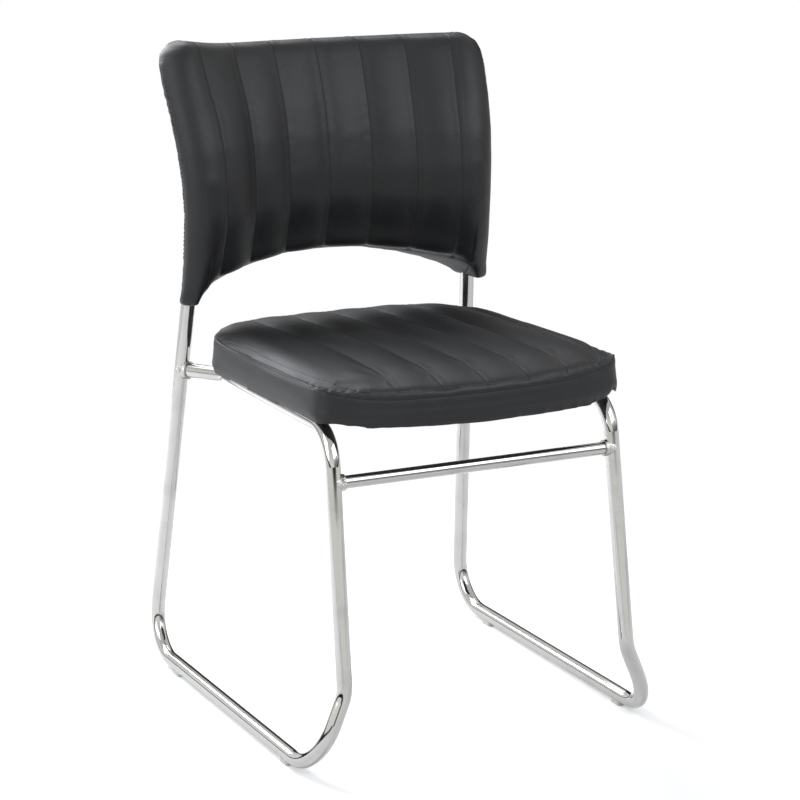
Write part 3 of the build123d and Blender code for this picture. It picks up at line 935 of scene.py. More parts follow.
    def _crease(self, piece: bpy.types.Object) -> None:
        """Marks the sewn lines, draws them in, and adds puckers and folds.

        Args:
            piece: The pad, with its fine mesh.
        """
        points = read_points(piece.data)
        normals = read_normals(piece.data)
        count, quilted = self.channel(points, normals)
        rim = self.rim(points, normals)
        self._paint(piece.data, channel=count, quilted=quilted, rim=rim)
        gap = np.abs(count - np.round(count)) * Finish.HIDE.value.channel_pitch
        line = bell(gap, 0.0, self.crease_reach) * quilted
        edge = bell(rim, 0.0, self.crease_reach)
        depth = self.crease_depth * np.maximum(line, edge)
        moved = points - normals * depth[:, None] + self.fold(points, normals)
        write_points(piece.data, moved + self.drape(points, normals))

    @staticmethod
    def _paint(mesh: bpy.types.Mesh, **marks: Array) -> None:
        """Keeps values at the points of a mesh for the cover's finish.

        Args:
            mesh: The mesh.
            marks: Values by name, one for each point.
        """
        for name, values in marks.items():
            kept = mesh.attributes.new(name, "FLOAT", "POINT")
            kept.data.foreach_set("value", values.astype(np.float32))

    def dress(self, piece: bpy.types.Object, finishes: Finishes) -> None:
        """Gives the pad its cover."""
        finishes.dress(piece, Finish.HIDE)


@dataclass
class SeatPad(Pad):
    """Seat pad on its board, with channels from front to back and a band round its edge."""

    name: str = "seat_cushion"
    solids: tuple[str, ...] = ("seat_top_panel", "seat_side_band", "seat_foam", "seat_board")
    replaced: tuple[str, ...] = ("seat_top_panel", "seat_side_band", "seat_foam")
    fill: float = 0.75
    pitch: float = 0.058
    seam_reach: Run = (0.002, 0.006)
    ripple: Ripple = Ripple(620.0, 391.0, 71.0, 2.0, 1.3)
    pucker: float = 0.0007
    plain_pucker: float = 0.15
    pucker_rise: Run = (0.0005, 0.003)
    pucker_inset: Run = (0.006, 0.013)
    plane_height: float = 0.42497
    plane_fall: float = 0.02787
    side_seam: float = 0.040
    front_seam: float = 0.025
    seam_turn: Run = (0.206, 0.246)
    left_end: Run = (-2.6, -2.4)
    right_end: Run = (3.3, 3.5)
    channel_start: Run = (0.006, 0.010)
    hem_height: float = 0.010
    hem_hold: Run = (0.005, 0.015)
    hem_inset: Run = (0.030, 0.034)
    lining_rise: float = 0.0025
    under_tilt: float = -0.7
    middle_y: float = -0.014
    half_width: float = 0.207
    lap_stretch: float = 1.15
    outline_share: float = 0.8
    corner_lap: float = 0.19
    corner_spread: float = 0.035
    top_loose: Run = (0.004, 0.010)
    band_loose: Run = (0.003, 0.008)
    band_tilt: float = -0.5
    plain_loose: float = 0.3
    top_rise: Run = (0.001, 0.006)
    bulge: float = 0.003
    bulge_middle: Run = (-0.10, -0.05)
    bulge_spread: Run = (0.085, 0.10)
    shoulder_drop: float = 0.0052
    shoulder_start: Run = (0.0, 0.006)
    shoulder_end: Run = (0.008, 0.038)
    left_shoulder: Run = (0.0, 0.08)
    left_fade: Run = (0.06, 0.16)
    right_share: float = 0.8
    right_shoulder: Run = (0.15, 0.19)
    right_front: Run = (0.12, 0.19)
    front_share: float = 0.25
    front_fade: Run = (-0.24, -0.20)
    front_drop: float = 0.0025
    corner_drop: float = 0.0052
    hang_height: Run = (0.006, 0.026)
    hang_gap: Run = (0.001, 0.005)
    hang_front: Run = (0.16, 0.225)
    hang_side: Run = (0.0, 0.19)
    tuck: float = 0.003
    tuck_height: Run = (0.0, 0.012)
    rail_x: float = 0.190
    rail_front_y: float = -0.2128
    tube_radius: float = 0.0095

    def height(self, points: Array) -> Array:
        """Height of points above the seat's underside plane."""
        return points[:, 2] - self.plane_height + self.plane_fall * points[:, 1]

    def seam(self, points: Array) -> Array:
        """Height of the edge seam, which dips round the front corners."""
        share = smooth_step(-points[:, 1], *self.seam_turn)
        return self.side_seam + (self.front_seam - self.side_seam) * share

    def channel(self, points: Array, normals: Array) -> tuple[Array, Array]:
        """Channels across the top panel, without the outermost seams.

        Args:
            points: Places of the cover's points.
            normals: Directions in which they face.

        Returns:
            Channel count at each point, and where the channels are, from 0 to 1.
        """
        count = points[:, 0] / self.pitch
        top = smooth_step(self.rim(points, normals), *self.channel_start)
        return count, top * smooth_step(count, *self.left_end) * smooth_fall(count, *self.right_end)

    def rim(self, points: Array, normals: Array) -> Array:
        """Signed height above the seam between the top panel and the band."""
        return self.height(points) - self.seam(points)

    def sewn(self, points: Array, normals: Array) -> Array:
        """Board and hem, the edge seam and the channel seams hold the cover.

        Args:
            points: Places of the cover's points.
            normals: Directions in which they face.

        Returns:
            How firmly each point is held, from 0 to 1.
        """
        hem = smooth_fall(self.height(points), *self.hem_hold)
        seam = self.seam_hold * smooth_fall(np.abs(self.rim(points, normals)), *self.seam_reach)
        return np.maximum(np.maximum(hem, seam), self.quilt(points, normals))

    def lap(self, points: Array) -> Array:
        """Rough length along the edge from the middle of the front, in metres."""
        turn = np.arctan2(points[:, 0], self.middle_y - points[:, 1])
        return turn * self.half_width * self.lap_stretch

    def inset(self, points: Array) -> Array:
        """Distance of each point in plan from the outside of the band.

        Args:
            points: Places of the cover's points.

        Returns:
            One distance for each point, in metres.
        """
        level = np.abs(self.height(points) - self.front_seam * self.outline_share) < self.voxel
        outline = points[level]
        tree = KDTree(len(outline))
        for index, (across, along, _) in enumerate(outline):
            tree.insert((across, along, 0.0), index)
        tree.balance()
        return np.array([tree.find((across, along, 0.0))[2] for across, along, _ in points])

    def corner(self, points: Array) -> Array:
        """Nearness to the front corners, from 0 to 1."""
        return bell(np.abs(self.lap(points)), self.corner_lap, self.corner_spread)

    def fold(self, points: Array, normals: Array) -> Array:
        """Puckers above the edge seam, stronger at the front corners, and the lining's recess.

        Args:
            points: Places of the cover's points.
            normals: Directions in which they face.

        Returns:
            One move for each point.
        """
        inset = self.inset(points)
        near = smooth_step(self.rim(points, normals), *self.pucker_rise)
        near *= smooth_fall(inset, *self.pucker_inset)
        strong = self.plain_pucker + (1.0 - self.plain_pucker) * self.corner(points)
        move = normals * (self.pucker * self.ripple.at(self.lap(points)) * near * strong)[:, None]
        inside = smooth_step(inset, *self.hem_inset)
        under = inside * (normals[:, 2] < self.under_tilt) * (self.height(points) < self.hem_height)
        move[:, 2] += self.lining_rise * under
        return move

    def loose(self, points: Array, normals: Array) -> Array:
        """The top and the corners of the band even out, the seam keeps its line.

        Args:
            points: Places of the cover's points.
            normals: Directions in which they face.

        Returns:
            How freely each point evens out, from 0 to 1.
        """
        rim = self.rim(points, normals)
        top = smooth_step(rim, *self.top_loose)
        band = smooth_step(-rim, *self.band_loose) * (normals[:, 2] > self.band_tilt)
        return np.maximum(top, band * (self.plain_loose + (1.0 - self.plain_loose) * self.corner(points)))

    def drape(self, points: Array, normals: Array) -> Array:
        """Broad shoulders, a soft rise at the left front, and a hem that hangs in front.

        Args:
            points: Places of the cover's points.
            normals: Directions in which they face.

        Returns:
            One move for each point.
        """
        move = np.zeros_like(points)
        across, along = points[:, 0], points[:, 1]
        height = self.height(points)
        inset = self.inset(points)
        top = smooth_step(self.rim(points, normals), *self.top_rise)
        shoulder = smooth_step(inset, *self.shoulder_start) * smooth_fall(inset, *self.shoulder_end)
        hill = bell(across, self.bulge_middle[0], self.bulge_spread[0])
        hill *= bell(along, self.bulge_middle[1], self.bulge_spread[1])
        left = smooth_step(-across, *self.left_shoulder) * smooth_fall(along, *self.left_fade)
        right = smooth_step(across, *self.right_shoulder) * smooth_step(-along, *self.right_front)
        side = np.maximum(left, self.right_share * right)
        side *= self.front_share + (1.0 - self.front_share) * smooth_step(along, *self.front_fade)
        move[:, 2] = top * (self.bulge * hill - self.shoulder_drop * shoulder * side)
        past_side = np.maximum(np.abs(across) - self.rail_x, 0.0)
        past_front = np.maximum(self.rail_front_y - along, 0.0)
        clear = np.hypot(past_side, past_front) - self.tube_radius
        free = smooth_step(clear, *self.hang_gap) * smooth_step(-along, *self.hang_front)
        hang = self.front_drop + self.corner_drop * smooth_step(across, *self.hang_side)
        move[:, 2] -= smooth_fall(height, *self.hang_height) * free * hang
        foot = smooth_fall(height, *self.tuck_height)
        move[:, :2] -= normals[:, :2] * (self.tuck * foot)[:, None]
        return move


@dataclass
class BackSleeve(Pad):
    """Back sleeve over the uprights, with upright channels on its hollow front."""

    name: str = "back_cushion"
    covers: tuple[str, ...] = ("back_front_cover", "back_rear_cover", "back_foam", "back_board")
    uprights: tuple[str, ...] = ("left_side_frame", "right_side_frame")
    solids: tuple[str, ...] = covers + uprights
    replaced: tuple[str, ...] = ("back_front_cover", "back_rear_cover", "back_foam")
    fill: float = 0.7
    pitch: float = 0.060
    seam_reach: Run = (0.003, 0.008)
    ripple: Ripple = Ripple(480.0, 301.0, 83.0, 2.2, 0.7)
    pucker: float = 0.0005
    plain_pucker: float = 0.4
    pucker_height: Run = (0.70, 0.80)
    pucker_middle: float = -0.004
    pucker_spread: float = 0.013
    hem: float = 0.502
    top: float = 0.832
    bend_low: float = 0.5908
    bend_high: float = 0.7822
    bend_y: float = 0.5271
    bend_z: float = 0.6438
    bend_radius: float = 0.350
    lower_slope: float = 0.153
    upper_slope: float = 0.4305
    front_offset: float = 0.0175
    front_radius: float = 0.290
    top_radius: float = 0.400
    flatter_from: float = 0.690
    most_swing: float = 0.95
    seam_offset: float = 0.004
    seam_side: Run = (0.175, 0.200)
    seam_depth: Run = (0.006, 0.022)
    seam_far: float = 0.1
    outer_channel: Run = (3.25, 3.35)
    channel_depth: Run = (0.014, 0.026)
    arch_crown: float = 0.547
    arch_shoulder: float = 0.496
    arch_half_width: float = 0.190
    arch_rear: float = 0.237
    arch_slope: float = 0.4
    hem_hold: Run = (0.008, 0.022)
    fan_side: Run = (0.17, 0.215)
    top_fan: float = 0.035
    top_fan_height: Run = (0.73, 0.82)
    low_fan: float = 0.02
    low_fan_height: Run = (0.53, 0.61)
    hem_turn: float = 0.006
    turn_height: Run = (0.0, 0.065)
    turn_depth: Run = (0.010, 0.030)
    top_dip: float = 0.002
    dip_half_width: float = 0.2
    corner_lift: float = 0.0075
    lift_x: float = -0.200
    lift_spread: float = 0.045
    lift_height: Run = (0.765, 0.825)
    fold_drop: float = 0.006
    fold_reach: float = 0.010
    fold_height: Run = (0.006, 0.030)
    roll_height: Run = (0.012, 0.036)
    roll_side: Run = (0.194, 0.207)
    roll_depth: Run = (0.090, 0.120)
    face_depth: Run = (0.006, 0.014)
    face_loose: float = 0.35
    middle_spread: float = 0.009
    bend_x: float = 0.1934
    bend_height: float = 0.690
    upright_lean: float = 0.0612
    upright_top: float = 0.785
    upright_clear: float = 0.0116
    least_reach: float = 0.002
    wall_tilt: float = 0.6
    core_radius: float = 0.0114
    core_sides: int = 24
    core_inset: float = 0.0015
    core_overlap: float = 0.012

    def _blank(self) -> bpy.types.Object:
        """Closed form of the sleeve, with the uprights only where they are inside it.

        Returns:
            The form as a piece of its own.
        """
        piece = super()._blank()
        points = read_points(piece.data)
        own = sum(len(frame["nodes"][node].data.vertices) for node in self.covers)
        low = self.hem + self.core_overlap
        faces = [tuple(face.vertices) for face in piece.data.polygons]
        kept = [face for face in faces if points[list(face), 2].min() > low or max(face) < own]
        corners = points.tolist()
        for side in (-1.0, 1.0):
            self._core(side, corners, kept)
        data = bpy.data.meshes.new(self.name)
        data.from_pydata(corners, [], kept)
        data.validate()
        self._swap(piece, data)
        return piece

    def _core(self, side: float, corners: list[list[float]], faces: list[tuple[int, ...]]) -> None:
        """Adds a closed core where a straight upright fills its socket.

        Args:
            side: -1 for the left upright, 1 for the right one.
            corners: Points of the form, which grow by the core's.
            faces: Faces of the form, which grow by the core's.
        """
        base, count = len(corners), self.core_sides
        for height in (self.hem + self.core_inset, self.bend_low + self.core_overlap):
            middle = side * self.upright_x(height)
            depth = float(self.spine(np.array([height]))[0])
            for turn in np.linspace(0.0, 2.0 * math.pi, count, endpoint=False):
                across, along = self.core_radius * math.cos(turn), self.core_radius * math.sin(turn)
                corners.append([middle + across, depth + along, height])
        faces.append(tuple(range(base + count - 1, base - 1, -1)))
        faces.append(tuple(range(base + count, base + 2 * count)))
        for step in range(count):
            after = (step + 1) % count
            faces.append((base + step, base + after, base + count + after, base + count + step))

    def upright_x(self, heights: Any) -> Any:
        """Distance of the uprights from the middle of the chair at each height."""
        return self.bend_x + self.upright_lean * (self.bend_height - heights)

    def spine(self, heights: Array) -> Array:
        """Place of the uprights, front to back.

        Args:
            heights: Heights above the floor.

        Returns:
            The place at each height.
        """
        level = np.clip(heights, self.bend_low, self.bend_high) - self.bend_z
        arc = self.bend_y - np.sqrt(np.maximum(self.bend_radius**2 - level**2, 0.0))
        below = np.maximum(self.bend_low - heights, 0.0) * self.lower_slope
        above = np.maximum(heights - self.bend_high, 0.0) * self.upper_slope
        return arc + below + above

    def hollow(self, heights: Array) -> Array:
        """Radius of the hollow front at each height."""
        climb = np.clip((heights - self.flatter_from) / (self.top - self.flatter_from), 0.0, 1.0)
        return self.front_radius + (self.top_radius - self.front_radius) * climb

    def swing(self, points: Array) -> Array:
        """Angle of each point round the hollow front."""
        share = points[:, 0] / self.hollow(points[:, 2])
        return np.arcsin(np.clip(share, -self.most_swing, self.most_swing))

    def depth(self, points: Array) -> Array:
        """Distance of each point behind the hollow front."""
        reach = self.hollow(points[:, 2]) * (1.0 - np.cos(self.swing(points)))
        return points[:, 1] - (self.spine(points[:, 2]) + self.front_offset - reach)

    def channel(self, points: Array, normals: Array) -> tuple[Array, Array]:
        """Channels across the front, along its hollow.

        Args:
            points: Places of the cover's points.
            normals: Not used.

        Returns:
            Channel count at each point, and where the channels are, from 0 to 1.
        """
        count = self.swing(points) * self.hollow(points[:, 2]) / self.pitch
        face = smooth_fall(self.depth(points), *self.channel_depth)
        return count, face * smooth_fall(np.abs(count), *self.outer_channel)

    def rim(self, points: Array, normals: Array) -> Array:
        """Place of each point against the side seams.

        Args:
            points: Places of the cover's points.
            normals: Not used.

        Returns:
            Signed distance behind the seams, and large away from the sides.
        """
        behind = points[:, 1] - self.spine(points[:, 2]) - self.seam_offset
        away = smooth_fall(np.abs(points[:, 0]), *self.seam_side)
        side = smooth_step(self.depth(points), *self.seam_depth) * 2.0 - 1.0
        return behind + away * side * self.seam_far

    def over_hem(self, points: Array) -> Array:
        """Place of each point against the arched lower edge.

        Args:
            points: Places of the cover's points.

        Returns:
            Height of each point above the edge.
        """
        aside = np.abs(points[:, 0])
        drop = (self.arch_crown - self.arch_shoulder) * np.clip(aside / self.arch_half_width, 0.0, 1.0) ** 2
        edge = self.arch_crown - drop + self.arch_slope * (self.arch_rear - points[:, 1])
        return points[:, 2] - np.where(aside > self.arch_half_width, self.hem, np.maximum(edge, self.hem))

    def sewn(self, points: Array, normals: Array) -> Array:
        """Lower edge, side seams and channel seams hold the cover.

        Args:
            points: Places of the cover's points.
            normals: Directions in which they face.

        Returns:
            How firmly each point is held, from 0 to 1.
        """
        hem = smooth_fall(self.over_hem(points), *self.hem_hold)
        seam = self.seam_hold * smooth_fall(np.abs(self.rim(points, normals)), *self.seam_reach)
        return np.maximum(np.maximum(hem, seam), self.quilt(points, normals))

    def fold(self, points: Array, normals: Array) -> Array:
        """Puckers along the side seams, strongest at the upper corners.

        Args:
            points: Places of the cover's points.
            normals: Directions in which they face.

        Returns:
            One move for each point.
        """
        heights = points[:, 2]
        strong = self.plain_pucker + (1.0 - self.plain_pucker) * smooth_step(heights, *self.pucker_height)
        near = bell(self.rim(points, normals), self.pucker_middle, self.pucker_spread) * strong
        return normals * (self.pucker * self.ripple.at(heights) * near)[:, None]

    def drape(self, points: Array, normals: Array) -> Array:
        """Channels fan out, the front turns in at the hem, the top edge dips and its left corner stands up.

        Args:
            points: Places of the cover's points.
            normals: Directions in which they face.

        Returns:
            One move for each point.
        """
        move = np.zeros_like(points)
        across, heights = points[:, 0], points[:, 2]
        depth = self.depth(points)
        over_hem = self.over_hem(points)
        inner = smooth_fall(np.abs(across), *self.fan_side)
        fan = self.top_fan * smooth_step(heights, *self.top_fan_height)
        fan += self.low_fan * smooth_fall(heights, *self.low_fan_height)
        move[:, 0] = across * fan * inner
        turn = smooth_fall(over_hem, *self.turn_height) * smooth_fall(depth, *self.turn_depth)
        move[:, 1] = self.hem_turn * turn * inner
        dip = 1.0 - np.clip(np.abs(across) / self.dip_half_width, 0.0, 1.0) ** 2
        rise = self.corner_lift * bell(across, self.lift_x, self.lift_spread) - self.top_dip * dip
        move[:, 2] = rise * smooth_step(heights, *self.lift_height)
        edge = bell(depth, 0.0, self.fold_reach) * smooth_fall(over_hem, *self.fold_height)
        move[:, 2] -= self.fold_drop * edge * inner
        return move + self.clearance(points + move, normals)

    def clearance(self, points: Array, normals: Array) -> Array:
        """Moves that take the cover off the uprights inside it.

        Args:
            points: Places of the cover's points.
            normals: Directions in which they face.

        Returns:
            One move for each point.
        """
        heights = points[:, 2]
        beside = np.abs(points[:, 0]) - self.upright_x(heights)
        behind = points[:, 1] - self.spine(heights)
        wall = (np.abs(normals[:, 2]) < self.wall_tilt) & (heights < self.upright_top)
        reach = np.maximum(np.hypot(beside, behind), self.least_reach)
        push = np.maximum(self.upright_clear / reach - 1.0, 0.0) * wall
        return np.column_stack((beside * push * np.sign(points[:, 0]), behind * push, np.zeros_like(push)))

    def loose(self, points: Array, normals: Array) -> Array:
        """The front rolls under at the arched edge and evens out, the side seams keep their line.

        Args:
            points: Places of the cover's points.
            normals: Not used.

        Returns:
            How freely each point evens out, from 0 to 1.
        """
        depth = self.depth(points)
        inner = smooth_fall(np.abs(points[:, 0]), *self.roll_side)
        roll = smooth_fall(self.over_hem(points), *self.roll_height) * inner
        roll *= smooth_fall(depth, *self.roll_depth)
        face = smooth_fall(np.abs(depth), *self.face_depth)
        middle = bell(points[:, 0], 0.0, self.middle_spread)
        return np.maximum(roll, face * np.maximum(self.face_loose, middle))


@dataclass
class StitchRow:
    """Row of stitches along a seam of a cushion.

    The profile of a stitch gives shares of its length, with the lift and girth there in thread radii.
    """

    name: str
    pitch: float = 0.0056
    length: float = 0.0042
    radius: float = 0.00048
    sides: int = 6
    profile: tuple[Place, ...] = (
        (0.0, -0.9, 0.35),
        (0.1, 0.1, 0.8),
        (0.3, 0.55, 1.0),
        (0.7, 0.55, 1.0),
        (0.9, 0.1, 0.8),
        (1.0, -0.9, 0.35),
    )

    def paths(self, tree: BVHTree) -> list[Array]:
        """Lines on the cushion that the stitches follow."""
        raise NotImplementedError

    def build(self, cushion: bpy.types.Object) -> bpy.types.Object:
        """Lays the stitches on the finished cushion.

        Args:
            cushion: The cushion, with its final mesh.

        Returns:
            All stitches as one piece, riding on the chair.
        """
        corners = read_points(cushion.data).tolist()
        tree = BVHTree.FromPolygons(corners, [tuple(f.vertices) for f in cushion.data.polygons])
        points: list[Vector] = []
        faces: list[tuple[int, ...]] = []
        for path in self.paths(tree):
            steps = np.linalg.norm(np.diff(path, axis=0), axis=1)
            run = np.concatenate([[0.0], np.cumsum(steps)])
            for middle in np.arange(self.pitch, run[-1] - self.pitch, self.pitch):
                ends = [self._at(path, run, middle + side * self.length / 2) for side in (-1.0, 1.0)]
                self._stitch(tree, ends, points, faces)
        piece = Mesh(np.array(points), faces).piece(self.name)
        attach(piece, "root")
        log.info("%s: %d faces", self.name, len(faces))
        return piece

    @staticmethod
    def _at(path: Array, run: Array, place: float) -> Array:
        """Point of the path at a length along it."""
        return np.array([np.interp(place, run, path[:, axis]) for axis in range(3)])

    def _stitch(
        self, tree: BVHTree, ends: list[Array], points: list[Vector], faces: list[tuple[int, ...]]
    ) -> None:
        """Adds one arched stitch between two points of the cover.

        Args:
            tree: The cushion's faces.
            ends: The two points.
            points: Points of the row, which grow by the stitch's.
            faces: Faces of the row, which grow by the stitch's.
        """
        along = Vector(ends[1] - ends[0]).normalized()
        normal = tree.find_nearest(Vector((ends[0] + ends[1]) / 2))[1]
        across = along.cross(normal).normalized()
        up = across.cross(along)
        base = len(points)
        for share, lift, girth in self.profile:
            middle = Vector(ends[0] + (ends[1] - ends[0]) * share) + up * (lift * self.radius)
            for side in range(self.sides):
                turn = 2.0 * math.pi * side / self.sides
                reach = self.radius * girth
                points.append(middle + across * (math.cos(turn) * reach) + up * (math.sin(turn) * reach))
        for ring in range(len(self.profile) - 1):
            for side in range(self.sides):
                next_side = (side + 1) % self.sides
                low = base + ring * self.sides
                high = low + self.sides
                faces.append((low + side, low + next_side, high + next_side, high + side))
        last = base + (len(self.profile) - 1) * self.sides
        faces.append(tuple(base + side for side in reversed(range(self.sides))))
        faces.append(tuple(last + side for side in range(self.sides)))

    def dress(self, piece: bpy.types.Object, finishes: Finishes) -> None:
        """Gives the stitches their thread."""
        finishes.dress(piece, Finish.THREAD)


@dataclass
class SeatRow(StitchRow):
    """Topstitches above the seam between the seat's top panel and its band."""

    name: str = "seat_topstitch"
    seat: SeatPad | None = None
    side_rise: float = 0.0055
    front_rise: float = 0.0090
    rays: int = 2400

    def paths(self, tree: BVHTree) -> list[Array]:
        """Line round the cushion above its seam, from rear to rear by the front.

        Args:
            tree: The cushion's faces.

        Returns:
            The line, alone in a list.
        """
        seat = self.seat
        found: list[Vector] = []
        for turn in np.linspace(-math.pi, math.pi, self.rays):
            out = Vector((math.sin(turn), -math.cos(turn), 0.0))
            toward = Vector((-out.x, -out.y, seat.plane_fall * out.y)).normalized()
            start = Vector((0.0, seat.middle_y, 0.0)) + out
            start.z = seat.plane_height - seat.plane_fall * start.y
            level = Vector((0.0, 0.0, seat.front_seam * seat.outline_share))
            band = tree.ray_cast(start + level, toward)[0]
            seam = float(seat.seam(np.array([band]))[0])
            share = (seat.side_seam - seam) / (seat.side_seam - seat.front_seam)
            rise = self.side_rise + (self.front_rise - self.side_rise) * share
            found.append(tree.ray_cast(start + Vector((0.0, 0.0, seam + rise)), toward)[0])
        return [np.array(found)]


@dataclass
class SleeveRow(StitchRow):
    """Stitches in front of the side seams of the back sleeve."""

    name: str = "back_side_stitches"
    sleeve: BackSleeve | None = None
    ahead: float = 0.014
    low: float = 0.560
    high: float = 0.800
    rays: int = 240

    def paths(self, tree: BVHTree) -> list[Array]:
        """One line on each side, from above the hem to the upper corner.

        Args:
            tree: The cushion's faces.

        Returns:
            The left line and the right line.
        """
        heights = np.linspace(self.low, self.high, self.rays)
        depths = self.sleeve.spine(heights) + self.sleeve.seam_offset - self.ahead
        lines = []
        for side in (-1.0, 1.0):
            starts = [Vector((side, depth, height)) for depth, height in zip(depths, heights)]
            hits = [tree.ray_cast(start, Vector((-side, 0.0, 0.0)))[0] for start in starts]
            lines.append(np.array(hits))
        return lines


@dataclass(frozen=True)
class Hardware:
    """Frame, glides, fixings and boards that come finished in shape from the frame file."""

    finish_of_slot = {
        "chrome_tube": Finish.CHROME,
        "strap_steel": Finish.PAINT,
        "weld_bead": Finish.WELD,
        "glide_plastic": Finish.GLIDE,
        "plug_plastic": Finish.PLUG,
        "plywood": Finish.PLYWOOD,
        "zinc_steel": Finish.ZINC,
        "lining_cloth": Finish.LINING,
    }

    def dress(self, finishes: Finishes) -> None:
        """Gives every shown node of the frame its finish.

        Args:
            finishes: Materials of the chair.
        """
        for part in frame["record"]["subparts"]:
            finish = self.finish_of_slot.get(part["material_slot"])
            if finish is not None:
                finishes.dress(frame["nodes"][part["node"]], finish)
                log.info("%s: %s", part["node"], finish.name.lower())


@dataclass
class SoftBox:
    """Large soft lamp, given by its place, what it faces and its size."""

    name: str
    place: Place
    facing: Place
    width: float
    depth: float
    power: float
    tint: tuple[float, float, float] = (0.93, 0.955, 1.0)

    def build(self) -> None:
        """Hangs the lamp."""
        data = bpy.data.lights.new(self.name, "AREA")
        data.shape = "RECTANGLE"
        data.size = self.width
        data.size_y = self.depth
        data.energy = self.power
        data.color = self.tint
        lamp = bpy.data.objects.new(self.name, data)
        lamp.location = self.place
        lamp.rotation_euler = (Vector(self.facing) - Vector(self.place)).to_track_quat("-Z", "Y").to_euler()
        bpy.context.collection.objects.link(lamp)


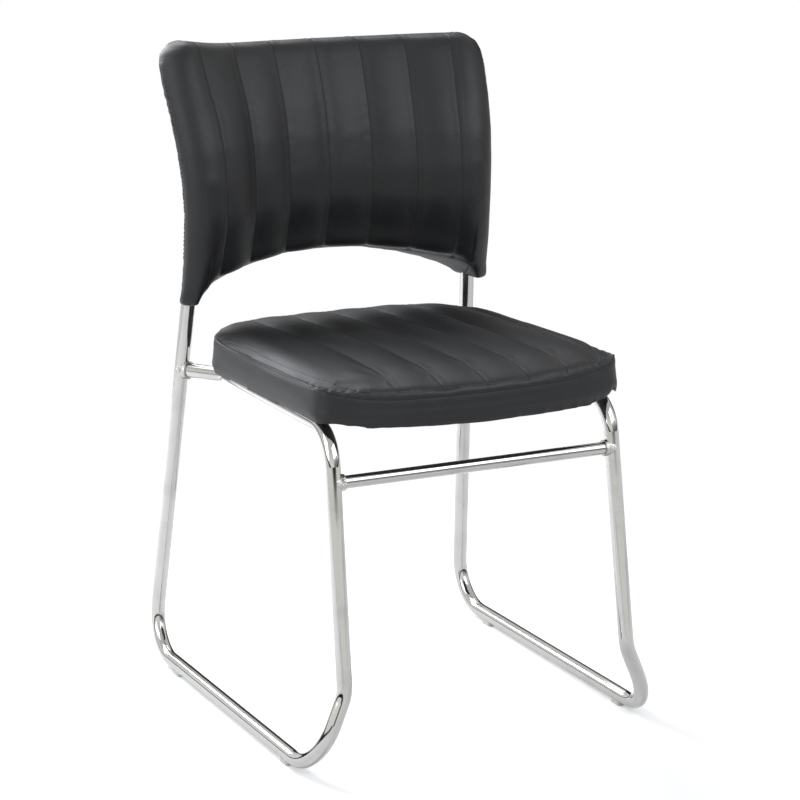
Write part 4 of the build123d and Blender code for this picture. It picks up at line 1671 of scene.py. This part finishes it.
@dataclass
class Studio:
    """Pale floor, white surround, soft lamps and the camera."""

    azimuth: float = -26.31
    elevation: float = 13.84
    distance: float = 3.3854
    target: Place = (0.0, -0.013, 0.39405)
    lens: float = 119.25
    sensor: float = 36.0
    view_end: float = 100.0
    floor_half: float = 2.0
    floor_tone: float = 0.82
    floor_glow: float = 0.3
    mirror_glow: float = 0.10
    floor_fade: Run = (0.45, 1.2)
    fill_light: float = 0.35
    low_sky: float = 1.1
    high_sky: float = 0.75
    sky_climb: Run = (0.1, 0.8)
    horizon: Run = (0.0, 0.02)
    strip_top: Run = (0.08, 0.11)
    wall_side: Run = (0.12, 0.30)
    wall_rear: Run = (-0.1, 0.3)
    wall_top: Run = (0.36, 0.50)
    wall_tone: float = 0.025
    front_turn: Run = (0.3, 0.6)
    front_side: Run = (-0.2, 0.1)
    front_top: Run = (0.15, 0.4)
    front_tone: float = 0.30
    ground_fall: Run = (0.06, 0.12)
    ground_tone: float = 0.28
    lamps: tuple[SoftBox, ...] = (
        SoftBox("front_box", (0.9, -2.0, 1.9), (0.0, 0.0, 0.55), 2.6, 1.3, 32.0),
        SoftBox("rear_box", (-0.3, 1.6, 2.2), (0.0, 0.0, 0.45), 2.2, 1.3, 38.0),
        SoftBox("rear_left_box", (-0.9, 2.0, 1.6), (0.0, 0.0, 0.45), 1.0, 1.0, 52.0),
        SoftBox("left_box", (-2.2, -0.3, 1.5), (0.0, 0.0, 0.45), 1.4, 1.8, 19.0),
    )

    def build(self) -> None:
        """Sets up camera, floor, lamps and surround."""
        self._camera()
        self._floor()
        self._world()
        for lamp in self.lamps:
            lamp.build()
        bpy.context.scene.view_settings.view_transform = "Standard"
        log.info("studio: %d lamps", len(self.lamps))

    def _camera(self) -> None:
        """Places the camera at the photograph's viewing angle."""
        turn, lift = math.radians(self.azimuth), math.radians(self.elevation)
        away = Vector((math.sin(turn) * math.cos(lift), -math.cos(turn) * math.cos(lift), math.sin(lift)))
        data = bpy.data.cameras.new("camera")
        data.lens = self.lens
        data.sensor_width = self.sensor
        data.clip_end = self.view_end
        camera = bpy.data.objects.new("camera", data)
        camera.location = Vector(self.target) + away * self.distance
        camera.rotation_euler = (-away).to_track_quat("-Z", "Y").to_euler()
        bpy.context.collection.objects.link(camera)
        bpy.context.scene.camera = camera

    def _floor(self) -> None:
        """Pale floor that keeps the chair's soft shadow."""
        half = self.floor_half
        corners = np.array([(-half, -half, 0.0), (half, -half, 0.0), (half, half, 0.0), (-half, half, 0.0)])
        floor = Mesh(corners, [(0, 1, 2, 3)]).piece("floor")
        material = bpy.data.materials.new("pale_floor")
        material.use_nodes = True
        graph = Graph(material.node_tree)
        camera, onward = self._rays(graph)
        paint = graph.node("ShaderNodeBsdfDiffuse", {}, {"Color": grey(self.floor_tone)})
        mirrored = self._lit(graph, paint, self.mirror_glow)
        near = self._lit(graph, paint, self.floor_glow)
        white = graph.node("ShaderNodeEmission", {}, {"Color": WHITE, "Strength": 1.0})
        far = graph.node("ShaderNodeVectorMath", {"operation": "LENGTH"}, {0: graph.place()}, out="Value")
        seen = self._either(graph, far.rise(*self.floor_fade), near, white)
        hidden = self._either(graph, onward, paint, mirrored)
        both = self._either(graph, camera, hidden, seen)
        graph.node("ShaderNodeOutputMaterial", {}, {"Surface": both})
        floor.data.materials.append(material)

    @staticmethod
    def _rays(graph: Graph) -> tuple[Value, Value]:
        """Tells rays apart by where they come from.

        Args:
            graph: Node tree that asks.

        Returns:
            1 for rays of the camera, and 1 for rays that mirrors and glass send on.
        """
        camera = graph.node("ShaderNodeLightPath", out="Is Camera Ray")
        glossy = graph.node("ShaderNodeLightPath", out="Is Glossy Ray")
        through = graph.node("ShaderNodeLightPath", out="Is Transmission Ray")
        return camera, glossy.at_least(through)

    @staticmethod
    def _lit(graph: Graph, paint: Value, strength: float) -> Value:
        """Floor paint with an even glow added."""
        glow = graph.node("ShaderNodeEmission", {}, {"Color": WHITE, "Strength": strength})
        return graph.node("ShaderNodeAddShader", {}, {0: paint, 1: glow})

    @staticmethod
    def _either(graph: Graph, share: Value, first: Value, second: Value) -> Value:
        """Shader between two shaders."""
        return graph.node("ShaderNodeMixShader", {}, {0: share, 1: first, 2: second})

    def _world(self) -> None:
        """White surround for the camera, a dim low wall for mirrors, and plain fill light."""
        world = bpy.data.worlds.new("surround")
        world.use_nodes = True
        bpy.context.scene.world = world
        graph = Graph(world.node_tree)
        camera, onward = self._rays(graph)
        toward = graph.node("ShaderNodeTexCoord", out="Generated")
        right, rear, rise = (graph.axis(toward, name) for name in "XYZ")
        front = (0.0 - rear).rise(*self.front_turn) * right.rise(*self.front_side)
        wall = right.rise(*self.wall_side) * rear.rise(*self.wall_rear) * (1.0 - rise.rise(*self.wall_top))
        strip = 1.0 - rise.rise(*self.strip_top)
        dim = front * (1.0 - rise.rise(*self.front_top))
        sky = graph.mix(rise.rise(*self.sky_climb), grey(self.low_sky), grey(self.high_sky))
        sky = graph.mix(dim, sky, grey(self.front_tone))
        sky = graph.mix(wall.at_least(strip), sky, grey(self.wall_tone))
        low = front * (0.0 - rise).rise(*self.ground_fall)
        ground = graph.mix(low, WHITE, grey(self.ground_tone))
        mirrored = graph.mix(rise.rise(*self.horizon), ground, sky)
        hidden = graph.mix(onward, grey(self.fill_light), mirrored)
        colour = graph.mix(camera, hidden, WHITE)
        back = graph.node("ShaderNodeBackground", {}, {"Color": colour, "Strength": 1.0})
        graph.node("ShaderNodeOutputWorld", {}, {"Surface": back})


def main() -> None:
    """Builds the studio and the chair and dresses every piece."""
    logging.basicConfig(level=logging.INFO, format="%(message)s")
    Studio().build()
    finishes = Finishes()
    Hardware().dress(finishes)
    seat = SeatPad()
    cushion = seat.build()
    seat.dress(cushion, finishes)
    topstitch = SeatRow(seat=seat)
    topstitch.dress(topstitch.build(cushion), finishes)
    sleeve = BackSleeve()
    back = sleeve.build()
    sleeve.dress(back, finishes)
    side_row = SleeveRow(sleeve=sleeve)
    side_row.dress(side_row.build(back), finishes)


if __name__ == "__main__":
    main()
